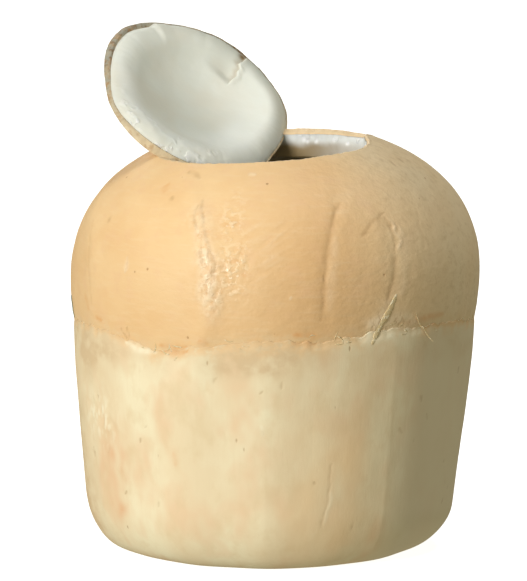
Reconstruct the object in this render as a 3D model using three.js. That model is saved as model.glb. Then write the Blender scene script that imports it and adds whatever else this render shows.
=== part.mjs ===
// A trimmed young coconut, opened at the top, with its cut lid lying in the mouth.
//
// Millimetres, +Z up. The origin is the centre of the flat base, so the part stands on z = 0.
// A bearing goes round the Z axis from the front (-Y) towards the right (+X).
// A latitude on the nut is 0 at its widest level, 90 degrees at its top and -90 at its bottom.
// Each layer of the nut is an inset of its outside, by so many millimetres along the wall.

import * as THREE from 'three';

const DEGREE = Math.PI / 180;
const TURN = 2 * Math.PI;

// The nut: a full-shouldered dome over a rounded keel.
const HALF_WIDTH = 55;
const WIDEST_Z = 75;
const DOME_HEIGHT = 40; // where the dome would close, above the widest level
const DOME_POWER = 2.2; // 2 is an ellipse, more is fuller in the shoulders
const KEEL_DEPTH = 58; // the end of the buried keel, below the widest level
const KEEL_POWER = 2;
const LEAN = 0.029; // sideways drift to the right for each millimetre of height
const LOBES = { count: 3, height: 0.5, pull: 0.9 }; // the body is faintly three-cornered

// The walls. A gap keeps neighbouring layers apart.
const GAP = 0.3;
const SHELL_WALL = 2.4;
const FLESH_WALL = 5.2;
const FLESH_OUTSIDE = SHELL_WALL + GAP;
const FLESH_INSIDE = FLESH_OUTSIDE + FLESH_WALL;

// The mouth, cut lower at the front left than at the back right.
const MOUTH_LATITUDE = 59 * DEGREE; // of the mouth's outer edge
const MOUTH_RISE_BACK = 3.4 * DEGREE;
const MOUTH_RISE_RIGHT = 5 * DEGREE;
const MOUTH_WAVE = 0.7 * DEGREE;
const MOUTH_BEVEL = 3.2 * DEGREE; // the cut through the shell leans inwards by this much

// The husk: a slightly tapering block round the keel, cut flat below.
const HUSK_FOOT_RADIUS = 48.3; // where the straight side would meet the floor
const HUSK_TAPER = 0.107; // radius gained for each millimetre of height
const HUSK_TOP_RADIUS = 54.7;
const HUSK_TOP_BLEND = 0.5; // how softly the side turns upright under the seam
const HUSK_CORNER_RADIUS = 13;
const HUSK_CORNER_HEIGHT = 17;
const HUSK_CORNER_POWER = 2.2;
const HUSK_FLUTES = [
  { count: 9, height: 0.25, phase: 0.5 },
  { count: 14, height: 0.15, phase: 2 },
];

// The seam, where the pared husk ends in a wavy lip against the shell.
const SEAM_Z = 63;
const SEAM_HIGH = { bearing: 44 * DEGREE, width: 24 * DEGREE, height: 3.2 };
const SEAM_LOW = { bearing: -36 * DEGREE, width: 12 * DEGREE, height: -2.8 };
const SEAM_RIPPLES = [
  { count: 5, height: 0.5, phase: 1 },
  { count: 11, height: 0.35, phase: 2 },
];
const REBATE_DEPTH = 0.7; // the shell steps in this far where the lip laps it
const REBATE_HALF_HEIGHT = 2;

// Ribs and creases that run down the dome, each a bell in section: how far it lifts the surface,
// its half width, the heights it runs between, and its bearing in degrees at the height where it
// turns, with how fast it bends away above and below that, in degrees per square millimetre.
const MAIN_RIB = {
  lift: 0.9, width: 3.4, from: 58, to: 108, turn: 81, at: -18, above: -0.034, below: -0.008,
};
const LONG_CREASE = {
  lift: -0.8, width: 3.2, from: 73, to: 102, turn: 76, at: 13, above: 0.011, below: 0.011,
};
const BOWED_CREASE = {
  lift: -0.8, width: 3.2, from: 69, to: 94, turn: 81, at: 35.4, above: -0.03, below: -0.03,
};
const LEFT_SWELLING = {
  lift: 0.7, width: 4, from: 64, to: 100, turn: 74, at: -60, above: -0.04, below: 0,
};
const RIGHT_BACK_RIB = {
  lift: 0.9, width: 3.4, from: 58, to: 106, turn: 80, at: 108, above: 0.02, below: 0,
};
const LEFT_BACK_RIB = {
  lift: 0.9, width: 3.4, from: 58, to: 106, turn: 84, at: -132, above: -0.018, below: 0,
};
const DOME_LINES = [MAIN_RIB, LONG_CREASE, BOWED_CREASE, LEFT_SWELLING, RIGHT_BACK_RIB, LEFT_BACK_RIB];
const LINE_FADE = 5; // a line dies out over this height on each side of its ends

// The lid: a spherical cap, its rim cut square to its wall.
const LID_RADIUS = 27.7;
const LID_SAG = 8;
const LID_SPHERE = (LID_RADIUS ** 2 + LID_SAG ** 2) / (2 * LID_SAG);
const LID_RIM_POLAR = Math.asin(LID_RADIUS / LID_SPHERE);
const LID_SHELL_WALL = 2.2;
const LID_FLESH_OUTSIDE = LID_SHELL_WALL + GAP;
const LID_FLESH_INSIDE = LID_FLESH_OUTSIDE + 4.9;
const LID_OVAL = { share: 0.055, towards: -15 * DEGREE };
const LID_TRIANGLE = { share: 0.067, towards: 86 * DEGREE };
const LID_TEAR = { bearing: 123 * DEGREE, width: 6 * DEGREE, depth: 1.6 * DEGREE };
const LID_CENTRE = new THREE.Vector3(-19.8, 17.3, 119.7);
const LID_TILT = 40 * DEGREE; // from lying flat with its hollow up
const LID_FACING = 39 * DEGREE; // bearing of its low side

// How finely each piece is cut into facets.
const BODY_SIDES = 84;
const BURIED_ROWS = 8;
const BARE_ROWS = 18;
const HUSK_CORNER_ROWS = 6;
const HUSK_SIDE_ROWS = 8;
const LINING_ROWS = 10;
const LID_SIDES = 44;
const LID_ROWS = 8;

/** A bell of height 1 round `centre`, on a circle of bearings. */
function bell(bearing, centre, width) {
  const away = Math.atan2(Math.sin(bearing - centre), Math.cos(bearing - centre));
  return Math.exp(-((away / width) ** 2));
}

/** `count` values from `first` to `last`, both included. */
function spread(first, last, count) {
  return Array.from({ length: count }, (_, i) => THREE.MathUtils.lerp(first, last, i / (count - 1)));
}

/**
 * A lathe whose profile changes as it goes round. `profile(bearing)` gives always the same number
 * of [radius, height] points, the first and last on the axis, and up the outside.
 */
function roundSolid(profile, sides) {
  const start = profile(0).map(([radius, height]) => new THREE.Vector2(radius, height));
  const geometry = new THREE.LatheGeometry(start, sides).rotateX(Math.PI / 2);
  const position = geometry.getAttribute('position');
  for (let side = 0; side <= sides; side += 1) {
    const bearing = ((side % sides) / sides) * TURN;
    profile(bearing).forEach(([radius, height], row) => {
      const x = radius * Math.sin(bearing);
      const y = -radius * Math.cos(bearing);
      position.setXYZ(side * start.length + row, x, y, height);
    });
  }
  return geometry;
}

/** Drifts a body piece sideways with its height. */
function lean(geometry) {
  const shear = new THREE.Matrix4().makeShear(0, 0, 0, 0, LEAN, 0);
  return geometry.applyMatrix4(shear);
}

/** [radius, height] on the nut at a latitude, so far in from its outside. */
function nutPoint(latitude, inset) {
  const onDome = latitude > 0;
  const reach = (onDome ? DOME_HEIGHT : KEEL_DEPTH) - inset;
  const power = 2 / (onDome ? DOME_POWER : KEEL_POWER);
  const rise = Math.sign(latitude) * Math.abs(Math.sin(latitude)) ** power;
  return [(HALF_WIDTH - inset) * Math.cos(latitude) ** power, WIDEST_Z + reach * rise];
}

/** The latitude of the mouth's edge. */
function mouthLatitude(bearing) {
  const tilt = MOUTH_RISE_RIGHT * Math.sin(bearing) - MOUTH_RISE_BACK * Math.cos(bearing);
  return MOUTH_LATITUDE + tilt + MOUTH_WAVE * Math.sin(3 * bearing + 1);
}

/** The sum of a few waves round the body. */
function ripple(bearing, waves) {
  return waves.reduce((sum, wave) => sum + wave.height * Math.sin(wave.count * bearing + wave.phase), 0);
}

/** The height of the husk's lip. */
function seamHeight(bearing) {
  const high = SEAM_HIGH.height * bell(bearing, SEAM_HIGH.bearing, SEAM_HIGH.width);
  const low = SEAM_LOW.height * bell(bearing, SEAM_LOW.bearing, SEAM_LOW.width);
  return SEAM_Z + high + low + ripple(bearing, SEAM_RIPPLES);
}

/** Where a rib or crease stands at a height, as a bearing. */
function lineBearing(line, height) {
  const away = height - line.turn;
  const bend = away > 0 ? line.above : line.below;
  return (line.at + bend * away ** 2) * DEGREE;
}

/** 0 below a height and 1 above it, with a soft step between. */
function softStep(height, level, halfWidth) {
  return THREE.MathUtils.smoothstep(height, level - halfWidth, level + halfWidth);
}

/** How far the ribs and creases lift the dome at a bearing, radius and height. */
function domeRelief(bearing, radius, height) {
  return DOME_LINES.reduce((sum, line) => {
    const along = softStep(height, line.from, LINE_FADE) - softStep(height, line.to, LINE_FADE);
    const across = bell(bearing, lineBearing(line, height), line.width / radius);
    return sum + line.lift * along * across;
  }, 0);
}

/** How far the body stands out of the round at a bearing. */
function lobes(bearing) {
  return LOBES.height * Math.cos(LOBES.count * bearing + LOBES.pull * Math.sin(bearing));
}

/** [radius, height] on the outside of the shell. The keel's end is left a plain round. */
function shellSkin(bearing, latitude) {
  const [radius, height] = nutPoint(latitude, 0);
  const bare = softStep(height, seamHeight(bearing), REBATE_HALF_HEIGHT);
  const relief = bare * domeRelief(bearing, Math.max(radius, 1), height) - (1 - bare) * REBATE_DEPTH;
  const shaped = THREE.MathUtils.smoothstep(height, WIDEST_Z - KEEL_DEPTH, SEAM_Z);
  return [radius + shaped * (lobes(bearing) + relief), height];
}

/** [radius, height] on the outside of the husk. */
function huskSkin(bearing, height) {
  const side = HUSK_FOOT_RADIUS + HUSK_TAPER * height;
  const short = (HUSK_TOP_RADIUS - side) / HUSK_TOP_BLEND;
  const straight = HUSK_TOP_RADIUS - HUSK_TOP_BLEND * Math.log1p(Math.exp(short));
  const below = THREE.MathUtils.clamp(1 - height / HUSK_CORNER_HEIGHT, 0, 1);
  const reach = (1 - below ** HUSK_CORNER_POWER) ** (1 / HUSK_CORNER_POWER);
  const rounding = HUSK_CORNER_RADIUS * (1 - reach);
  return [straight - rounding + lobes(bearing) + ripple(bearing, HUSK_FLUTES), height];
}

/** Puts the first and last points of a profile exactly on the axis. */
function closeOnAxis(points) {
  points[0][0] = 0;
  points[points.length - 1][0] = 0;
  return points;
}

/** The latitudes of the buried keel, up to the husk's lip. */
function buriedLatitudes(bearing) {
  const lip = -Math.asin((WIDEST_Z - seamHeight(bearing)) / KEEL_DEPTH);
  return spread(-90 * DEGREE, lip, BURIED_ROWS);
}

/** A profile of one inner layer of the nut, between two insets, up to the mouth. */
function liningRows(bearing, inset) {
  const edge = mouthLatitude(bearing) + MOUTH_BEVEL;
  return spread(edge, -90 * DEGREE, LINING_ROWS).map((latitude) => nutPoint(latitude, inset));
}

function makeShell() {
  return lean(roundSolid((bearing) => {
    const buried = buriedLatitudes(bearing);
    const bare = spread(buried[BURIED_ROWS - 1], mouthLatitude(bearing), BARE_ROWS).slice(1);
    const outside = [...buried, ...bare].map((latitude) => shellSkin(bearing, latitude));
    return closeOnAxis([...outside, ...liningRows(bearing, SHELL_WALL)]);
  }, BODY_SIDES));
}

function makeFleshLining() {
  return lean(roundSolid((bearing) => {
    const outside = liningRows(bearing, FLESH_OUTSIDE).reverse();
    return closeOnAxis([...outside, ...liningRows(bearing, FLESH_INSIDE)]);
  }, BODY_SIDES));
}

function makeHuskBase() {
  const corner = spread(0, 90 * DEGREE, HUSK_CORNER_ROWS)
    .map((turn) => HUSK_CORNER_HEIGHT * (1 - Math.cos(turn)));
  return lean(roundSolid((bearing) => {
    const side = spread(HUSK_CORNER_HEIGHT, seamHeight(bearing), HUSK_SIDE_ROWS).slice(1);
    const outside = [...corner, ...side].map((height) => huskSkin(bearing, height));
    const cup = buriedLatitudes(bearing).reverse().map((latitude) => {
      const [radius, height] = shellSkin(bearing, latitude);
      return [radius + GAP * Math.cos(latitude), height + GAP * Math.sin(latitude)];
    });
    return closeOnAxis([[0, 0], ...outside, ...cup]);
  }, BODY_SIDES));
}

/** [radius, height] on the lid, from the middle of its back, so far in from its back. */
function lidPoint(polar, inset) {
  const reach = LID_SPHERE - inset;
  return [reach * Math.sin(polar), LID_SPHERE - LID_SAG - reach * Math.cos(polar)];
}

/** How far out the lid's rim lies, as an angle at the middle of its sphere. */
function lidRimPolar(bearing) {
  const oval = LID_OVAL.share * Math.cos(2 * (bearing - LID_OVAL.towards));
  const triangle = LID_TRIANGLE.share * Math.cos(3 * (bearing - LID_TRIANGLE.towards));
  return LID_RIM_POLAR * (1 + oval + triangle);
}

function makeLidLayer(outside, inside, tear) {
  return roundSolid((bearing) => {
    const rim = lidRimPolar(bearing);
    const torn = rim - tear * bell(bearing, LID_TEAR.bearing, LID_TEAR.width);
    const back = spread(0, rim, LID_ROWS).map((polar) => lidPoint(polar, outside));
    const hollow = spread(torn, 0, LID_ROWS).map((polar) => lidPoint(polar, inside));
    return closeOnAxis([...back, ...hollow]);
  }, LID_SIDES);
}

function piece(name, geometry, look) {
  const mesh = new THREE.Mesh(geometry, new THREE.MeshStandardMaterial(look));
  mesh.name = name;
  return mesh;
}

const TAN_SHELL = { color: 0xe8bf85, roughness: 0.45, metalness: 0 };
const CREAM_HUSK = { color: 0xe2d0a6, roughness: 0.85, metalness: 0 };
const WHITE_FLESH = { color: 0xe4e4d8, roughness: 0.35, metalness: 0 };

const lid = new THREE.Group();
lid.add(
  piece('lid_shell', makeLidLayer(0, LID_SHELL_WALL, 0), TAN_SHELL),
  piece('lid_flesh', makeLidLayer(LID_FLESH_OUTSIDE, LID_FLESH_INSIDE, LID_TEAR.depth), WHITE_FLESH),
);
lid.position.copy(LID_CENTRE);
lid.rotation.set(LID_TILT, 0, LID_FACING, 'ZYX');

const coconut = new THREE.Group();
coconut.add(
  piece('husk_base', makeHuskBase(), CREAM_HUSK),
  piece('shell', makeShell(), TAN_SHELL),
  piece('flesh_lining', makeFleshLining(), WHITE_FLESH),
  lid,
);

export default coconut;
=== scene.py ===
"""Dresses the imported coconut: a trimmed young coconut, opened at the top, its lid lying in the mouth.

Shapes are worked out in millimetres and written to the meshes in metres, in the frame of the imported
model: +Z up, the origin in the middle of the flat base. A bearing goes round the Z axis from the
front (-Y) towards the right (+X). A latitude on the nut is 0 at its widest level and 90 at its top.
"""

from __future__ import annotations

import itertools
import logging
import math
from collections.abc import Iterable
from dataclasses import dataclass
from enum import Enum
from functools import cached_property, lru_cache

import bmesh
import bpy
import numpy as np
from mathutils import Euler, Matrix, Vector

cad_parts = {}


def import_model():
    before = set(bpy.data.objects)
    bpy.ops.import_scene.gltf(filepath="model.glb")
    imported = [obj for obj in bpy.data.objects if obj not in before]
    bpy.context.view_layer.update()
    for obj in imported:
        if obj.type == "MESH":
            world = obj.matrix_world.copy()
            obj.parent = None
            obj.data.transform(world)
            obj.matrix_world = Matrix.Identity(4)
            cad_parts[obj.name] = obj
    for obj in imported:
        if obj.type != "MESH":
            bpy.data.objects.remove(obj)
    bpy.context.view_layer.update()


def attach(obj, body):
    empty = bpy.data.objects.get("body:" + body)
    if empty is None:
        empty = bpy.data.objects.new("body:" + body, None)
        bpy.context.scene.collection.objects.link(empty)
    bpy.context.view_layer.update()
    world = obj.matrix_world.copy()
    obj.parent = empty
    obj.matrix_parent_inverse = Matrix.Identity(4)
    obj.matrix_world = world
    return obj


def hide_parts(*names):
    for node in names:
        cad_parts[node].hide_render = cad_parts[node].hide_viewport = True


LOG = logging.getLogger("coconut")

MM = 0.001
TURN = 2 * math.pi
DEGREE = math.pi / 180
BODY = "root"

BODY_RADIUS = 55.0  # at the body's widest
SIDE_RADIUS = 54.0  # of most of its sides, to turn bearings into millimetres
NOISE_CELLS = 32  # each way, before the noise repeats
LONGEST_SPIN = 20  # the most steps that are spun at once
WELD = 1e-5  # how close a fresh ball's points are when they are merged

Array = np.ndarray
Points = tuple[tuple[float, float], ...]


class Slot(Enum):
    """The record's material slots."""

    HUSK = "husk"
    SHELL = "shell"
    FLESH = "flesh"


class Mask(Enum):
    """What a mesh's points tell its finish, from 0 to 1."""

    DEEP = "deep"
    WEATHERED = "weathered"
    CREASE = "crease"
    ORANGE = "orange"
    PALE = "pale"
    WET = "wet"
    LIP = "lip"
    STAIN = "stain"
    BROWNED = "browned"


# --- numbers -------------------------------------------------------------------------------------


def smooth(value: Array, low: float | Array, high: float | Array) -> Array:
    """Returns 0 below `low`, 1 above `high` and a soft step between."""
    share = np.clip((value - low) / (high - low), 0, 1)
    return share * share * (3 - 2 * share)


def soft_step(height: Array, level: float | Array, half_width: float) -> Array:
    """Returns a soft step centred on `level`."""
    return smooth(height, level - half_width, level + half_width)


def apart(bearing: Array, centre: float | Array) -> Array:
    """Returns how far a bearing is past another, the short way round."""
    return np.arctan2(np.sin(bearing - centre), np.cos(bearing - centre))


def bell(bearing: Array, centre: float | Array, width: float | Array) -> Array:
    """Returns a bell of height 1 round `centre`, on a circle of bearings."""
    return np.exp(-((apart(bearing, centre) / width) ** 2))


def near(bearing: Array, at: float, width: float) -> Array:
    """Returns the same bell, its middle and its width given in degrees."""
    return bell(bearing, at * DEGREE, width * DEGREE)


def blend(first: Array | float, second: Array | float, share: Array | float) -> Array:
    """Returns a mix of two values."""
    return first + (second - first) * share


def run(row: Array, first: int, last: int) -> Array:
    """Returns how far a row is on the way from one row to another, from 0 to 1."""
    return np.clip((row - first) / (last - first), 0, 1)


def either(chosen: Array, new: tuple[Array, Array], old: tuple[Array, Array]) -> tuple[Array, Array]:
    """Returns the new radius and height where they are chosen, and the old ones elsewhere."""
    return np.where(chosen, new[0], old[0]), np.where(chosen, new[1], old[1])


@lru_cache(maxsize=None)
def slopes(seed: int) -> Array:
    """Returns the slopes at the corners of a noise's cells."""
    drawn = np.random.default_rng(seed).normal(size=(NOISE_CELLS, NOISE_CELLS, NOISE_CELLS, 3))
    return drawn / np.linalg.norm(drawn, axis=3, keepdims=True)


def grain(points: Array, size: tuple[float, float, float] | float, seed: int) -> Array:
    """Returns smooth noise, mostly from -1 to 1.

    Args:
        points: Places in millimetres, one row each.
        size: The size of the noise's lumps in millimetres, or one size for each axis.
        seed: Which noise to take.

    Returns:
        The noise at each place.
    """
    lattice = slopes(seed)
    placed = points / np.array(size)
    low = np.floor(placed).astype(int)
    inside = placed - low
    share = inside * inside * (3 - 2 * inside)
    total = np.zeros(len(points))
    for corner in itertools.product((0, 1), repeat=3):
        slope = lattice[tuple(((low + corner) % NOISE_CELLS).T)]
        weight = np.prod(np.where(corner, share, 1 - share), axis=1)
        total += weight * np.sum(slope * (inside - corner), axis=1)
    return 1.5 * total  # slopes of length 1 alone would seldom reach past 0.7


def linear(hex_colour: str) -> tuple[float, float, float, float]:
    """Turns an sRGB colour to linear.

    Args:
        hex_colour: The colour, as "#RRGGBB".

    Returns:
        Linear red, green and blue, and an alpha of 1.
    """
    parts = [int(hex_colour[i:i + 2], 16) / 255 for i in (1, 3, 5)]
    turned = [c / 12.92 if c <= 0.04045 else ((c + 0.055) / 1.055) ** 2.4 for c in parts]
    return turned[0], turned[1], turned[2], 1.0


# --- meshes --------------------------------------------------------------------------------------


def spin_section(name: str, rows: int, sides: int) -> bpy.types.Object:
    """Spins a half round section into a ball whose points remember their row.

    A wedge is spun first and then repeated, which is far quicker than one long spin.

    Args:
        name: The piece's name.
        rows: Points in the section, the first and last on the axis.
        sides: How many times the section is repeated round the axis.

    Returns:
        The ball, each point with a "row" attribute. The body's pieces are all worked from such balls.
    """
    bpy.ops.object.select_all(action="DESELECT")
    bpy.ops.mesh.primitive_circle_add(vertices=rows, radius=1)
    piece = bpy.context.object
    piece.name = name
    piece.data.name = name
    row = piece.data.attributes.new("row", "FLOAT", "POINT")
    for index, vertex in enumerate(piece.data.vertices):
        turn = math.pi * index / (rows - 1)
        vertex.co = (0, -math.sin(turn) if 0 < index < rows - 1 else 0, -math.cos(turn))
        row.data[index].value = index
    bpy.ops.object.mode_set(mode="EDIT")
    bpy.ops.mesh.select_all(action="DESELECT")
    section = bmesh.from_edit_mesh(piece.data)
    for edge in section.edges:
        edge.select = {vertex.index for vertex in edge.verts} == {0, rows - 1}
    bmesh.update_edit_mesh(piece.data)
    bpy.ops.mesh.delete(type="EDGE")
    bpy.ops.mesh.select_all(action="SELECT")
    steps = math.gcd(sides, LONGEST_SPIN)
    wedge = TURN * steps / sides
    bpy.ops.mesh.spin(steps=steps, angle=wedge, center=(0, 0, 0), axis=(0, 0, 1))
    if steps < sides:
        bpy.ops.mesh.select_all(action="SELECT")
        bpy.ops.mesh.spin(steps=sides // steps - 1, dupli=True, angle=TURN - wedge, center=(0, 0, 0),
                          axis=(0, 0, 1))
    bpy.ops.mesh.select_all(action="SELECT")
    bpy.ops.mesh.remove_doubles(threshold=WELD)
    bpy.ops.mesh.normals_make_consistent(inside=False)
    bpy.ops.object.mode_set(mode="OBJECT")
    return piece


def ball(name: str, rows: int, sides: int, crowding: float = 0.0) -> tuple[bpy.types.Object, Array, Array]:
    """Spins a ball and reads off its rows and bearings, from which it is worked into a piece.

    Args:
        name: The piece's name.
        rows: How many rows of points it has, the first and last of them its poles.
        sides: How many sides it has.
        crowding: From 0 to 1, how much the sides crowd to the front, where the finest marks are.

    Returns:
        The ball, and the row and the bearing of each of its points.
    """
    piece = spin_section(name, rows, sides)
    row = np.zeros(len(piece.data.vertices), np.float32)
    piece.data.attributes["row"].data.foreach_get("value", row)
    points = np.zeros(len(piece.data.vertices) * 3, np.float32)
    piece.data.vertices.foreach_get("co", points)
    points = points.reshape(-1, 3).astype(float)
    piece.data.attributes.remove(piece.data.attributes["row"])
    turn = np.arctan2(points[:, 0], -points[:, 1])
    return piece, np.round(row).astype(int), turn - crowding * np.sin(turn)


def close_poles(radius: Array, row: Array) -> Array:
    """Returns the radius with the first and last row drawn in to the axis."""
    return np.where((row == 0) | (row == row.max()), 0, radius)


def write_points(piece: bpy.types.Object, points: Array) -> None:
    """Moves a mesh's points, given in millimetres."""
    piece.data.vertices.foreach_set("co", (points * MM).astype(np.float32).ravel())
    piece.data.update()


def write_mask(piece: bpy.types.Object, mask: Mask, values: Array) -> None:
    """Stores a mask on a mesh's points, for its finish to read."""
    layer = piece.data.attributes.new(mask.value, "FLOAT", "POINT")
    layer.data.foreach_set("value", np.clip(values, 0, 1).astype(np.float32))


def round_points(radius: Array, bearing: Array, height: Array) -> Array:
    """Returns the places of round coordinates."""
    return np.stack([radius * np.sin(bearing), -radius * np.cos(bearing), height], 1)


def ring(radius: float, bearing: Array) -> Array:
    """Returns places on a level ring, where noise that runs round the axis is read."""
    return round_points(radius + 0 * bearing, bearing, 0 * bearing)


def finish_piece(piece: bpy.types.Object, material: bpy.types.Material,
                 replaced: str | None = None) -> None:
    """Smooths, dresses and mounts a finished piece.

    Args:
        piece: The piece, its place in its mesh.
        material: Its finish.
        replaced: The CAD node that it stands for.
    """
    for polygon in piece.data.polygons:
        polygon.use_smooth = True
    piece.data.materials.clear()
    piece.data.materials.append(material)
    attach(piece, BODY)
    if replaced:
        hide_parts(replaced)
    triangles = sum(len(polygon.vertices) - 2 for polygon in piece.data.polygons)
    LOG.info("%s: %d triangles", piece.name, triangles)


# --- the grown form ------------------------------------------------------------------------------


@dataclass(frozen=True)
class Places:
    """Places on the body in round coordinates, at least a millimetre from its axis."""

    bearing: Array
    radius: Array
    height: Array

    @cached_property
    def points(self) -> Array:
        """The places in millimetres, one row each."""
        return round_points(self.radius, self.bearing, self.height)

    @cached_property
    def degrees(self) -> Array:
        """The bearings in degrees."""
        return self.bearing / DEGREE


@dataclass(frozen=True)
class Line:
    """A rib or crease that runs down the dome, a bell in section.

    It stands at a bearing, in degrees, at the height where it turns, and bends away above and below
    that by so many degrees per square millimetre.
    """

    lift: float
    width: float
    start: float
    end: float
    turn: float
    at: float
    above: float
    below: float
    fade: float = 5.0

    def bearing(self, height: Array) -> Array:
        """Returns where the line stands at a height."""
        away = height - self.turn
        return (self.at + np.where(away > 0, self.above, self.below) * away ** 2) * DEGREE

    def relief(self, places: Places) -> Array:
        """Finds how far the line lifts the dome.

        Args:
            places: Where to find it.

        Returns:
            The lift at each place.
        """
        height = places.height
        along = soft_step(height, self.start, self.fade) - soft_step(height, self.end, self.fade)
        return self.lift * (along * bell(places.bearing, self.bearing(height), self.width / places.radius))


@dataclass(frozen=True)
class Patch:
    """A soft round patch on the body."""

    at: float  # its bearing, in degrees
    level: float  # its height
    width: float  # half of it, in degrees
    tall: float  # half of it, in millimetres
    strength: float = 1.0

    def share(self, places: Places) -> Array:
        """Returns the patch's strength at each place."""
        across, up = (places.degrees - self.at) / self.width, (places.height - self.level) / self.tall
        return self.strength * np.exp(-across ** 2 - up ** 2)


@dataclass(frozen=True)
class Stroke:
    """A scratch, crease or dot on the body, drawn through points of bearing, in degrees, and height."""

    path: Points
    width: float
    depth: float = 0.0  # how far it sinks in; below 0 it stands out
    dark: float = 1.0  # how strongly it is coloured
    stray: float = 0.5  # how far it strays from its path
    stray_length: float = 2.6  # how long a way it takes to do so

    def drawn(self) -> Array:
        """Rounds off the path's corners.

        Returns:
            The path's points, one row each.
        """
        path = np.array(self.path if len(self.path) > 1 else self.path * 2, float)
        for _ in range(2 if len(path) > 2 else 0):
            cut = np.stack([0.75 * path[:-1] + 0.25 * path[1:], 0.25 * path[:-1] + 0.75 * path[1:]], 1)
            path = np.vstack([path[:1], cut.reshape(-1, 2), path[-1:]])
        return path

    def share(self, places: Places) -> Array:
        """Draws the stroke, thinning out unevenly over its width and towards its ends.

        Args:
            places: Where to draw it.

        Returns:
            About 1 on the stroke and 0 away from it.
        """
        path = self.drawn()
        total = np.zeros_like(places.bearing)
        middle, span = (path.min(0) + path.max(0)) / 2, (path.max(0) - path.min(0)) / 2
        reach = 3 * self.width + 0.8
        aside = np.abs(apart(places.bearing, middle[0] * DEGREE)) * places.radius
        close = np.abs(places.height - middle[1]) < span[1] + reach
        close &= aside < span[0] * DEGREE * BODY_RADIUS + reach
        points, radius = places.points[close], places.radius[close]
        if not len(points):
            return total
        around = places.bearing[close] + self.stray * grain(points, self.stray_length, seed=17) / radius
        level = places.height[close] + self.stray * grain(points, self.stray_length, seed=18)
        lengths = np.hypot(np.diff(path[:, 0]) * DEGREE * SIDE_RADIUS, np.diff(path[:, 1]))
        done = np.concatenate([[0], np.cumsum(lengths)]) / max(lengths.sum(), 1e-6)
        found = np.zeros(len(points))
        for index in range(len(lengths)):
            across = (path[index + 1, 0] - path[index, 0]) * DEGREE * radius
            up = path[index + 1, 1] - path[index, 1]
            away = apart(around, path[index, 0] * DEGREE) * radius
            over = level - path[index, 1]
            along = np.clip((away * across + over * up) / np.maximum(across ** 2 + up ** 2, 1e-9), 0, 1)
            gap = np.hypot(away - along * across, over - along * up)
            place = blend(done[index], done[index + 1], along)
            taper = 0.35 + 0.65 * np.sqrt(np.clip(4 * place * (1 - place), 0, 1))
            width = self.width * (taper if len(self.path) > 1 else 1)
            found = np.maximum(found, np.exp(-((gap / width) ** 2)))
        total[close] = found * np.clip(0.85 + 0.6 * grain(points, 1.7, seed=19), 0, 1.2)
        return total


def darkest(strokes: Iterable[Stroke], places: Places) -> Array:
    """Lays strokes over each other.

    Args:
        strokes: The strokes.
        places: Where to draw them.

    Returns:
        How dark the darkest stroke is at each place.
    """
    shade = np.zeros_like(places.bearing)
    for stroke in strokes:
        shade = np.maximum(shade, stroke.dark * stroke.share(places))
    return shade


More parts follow.
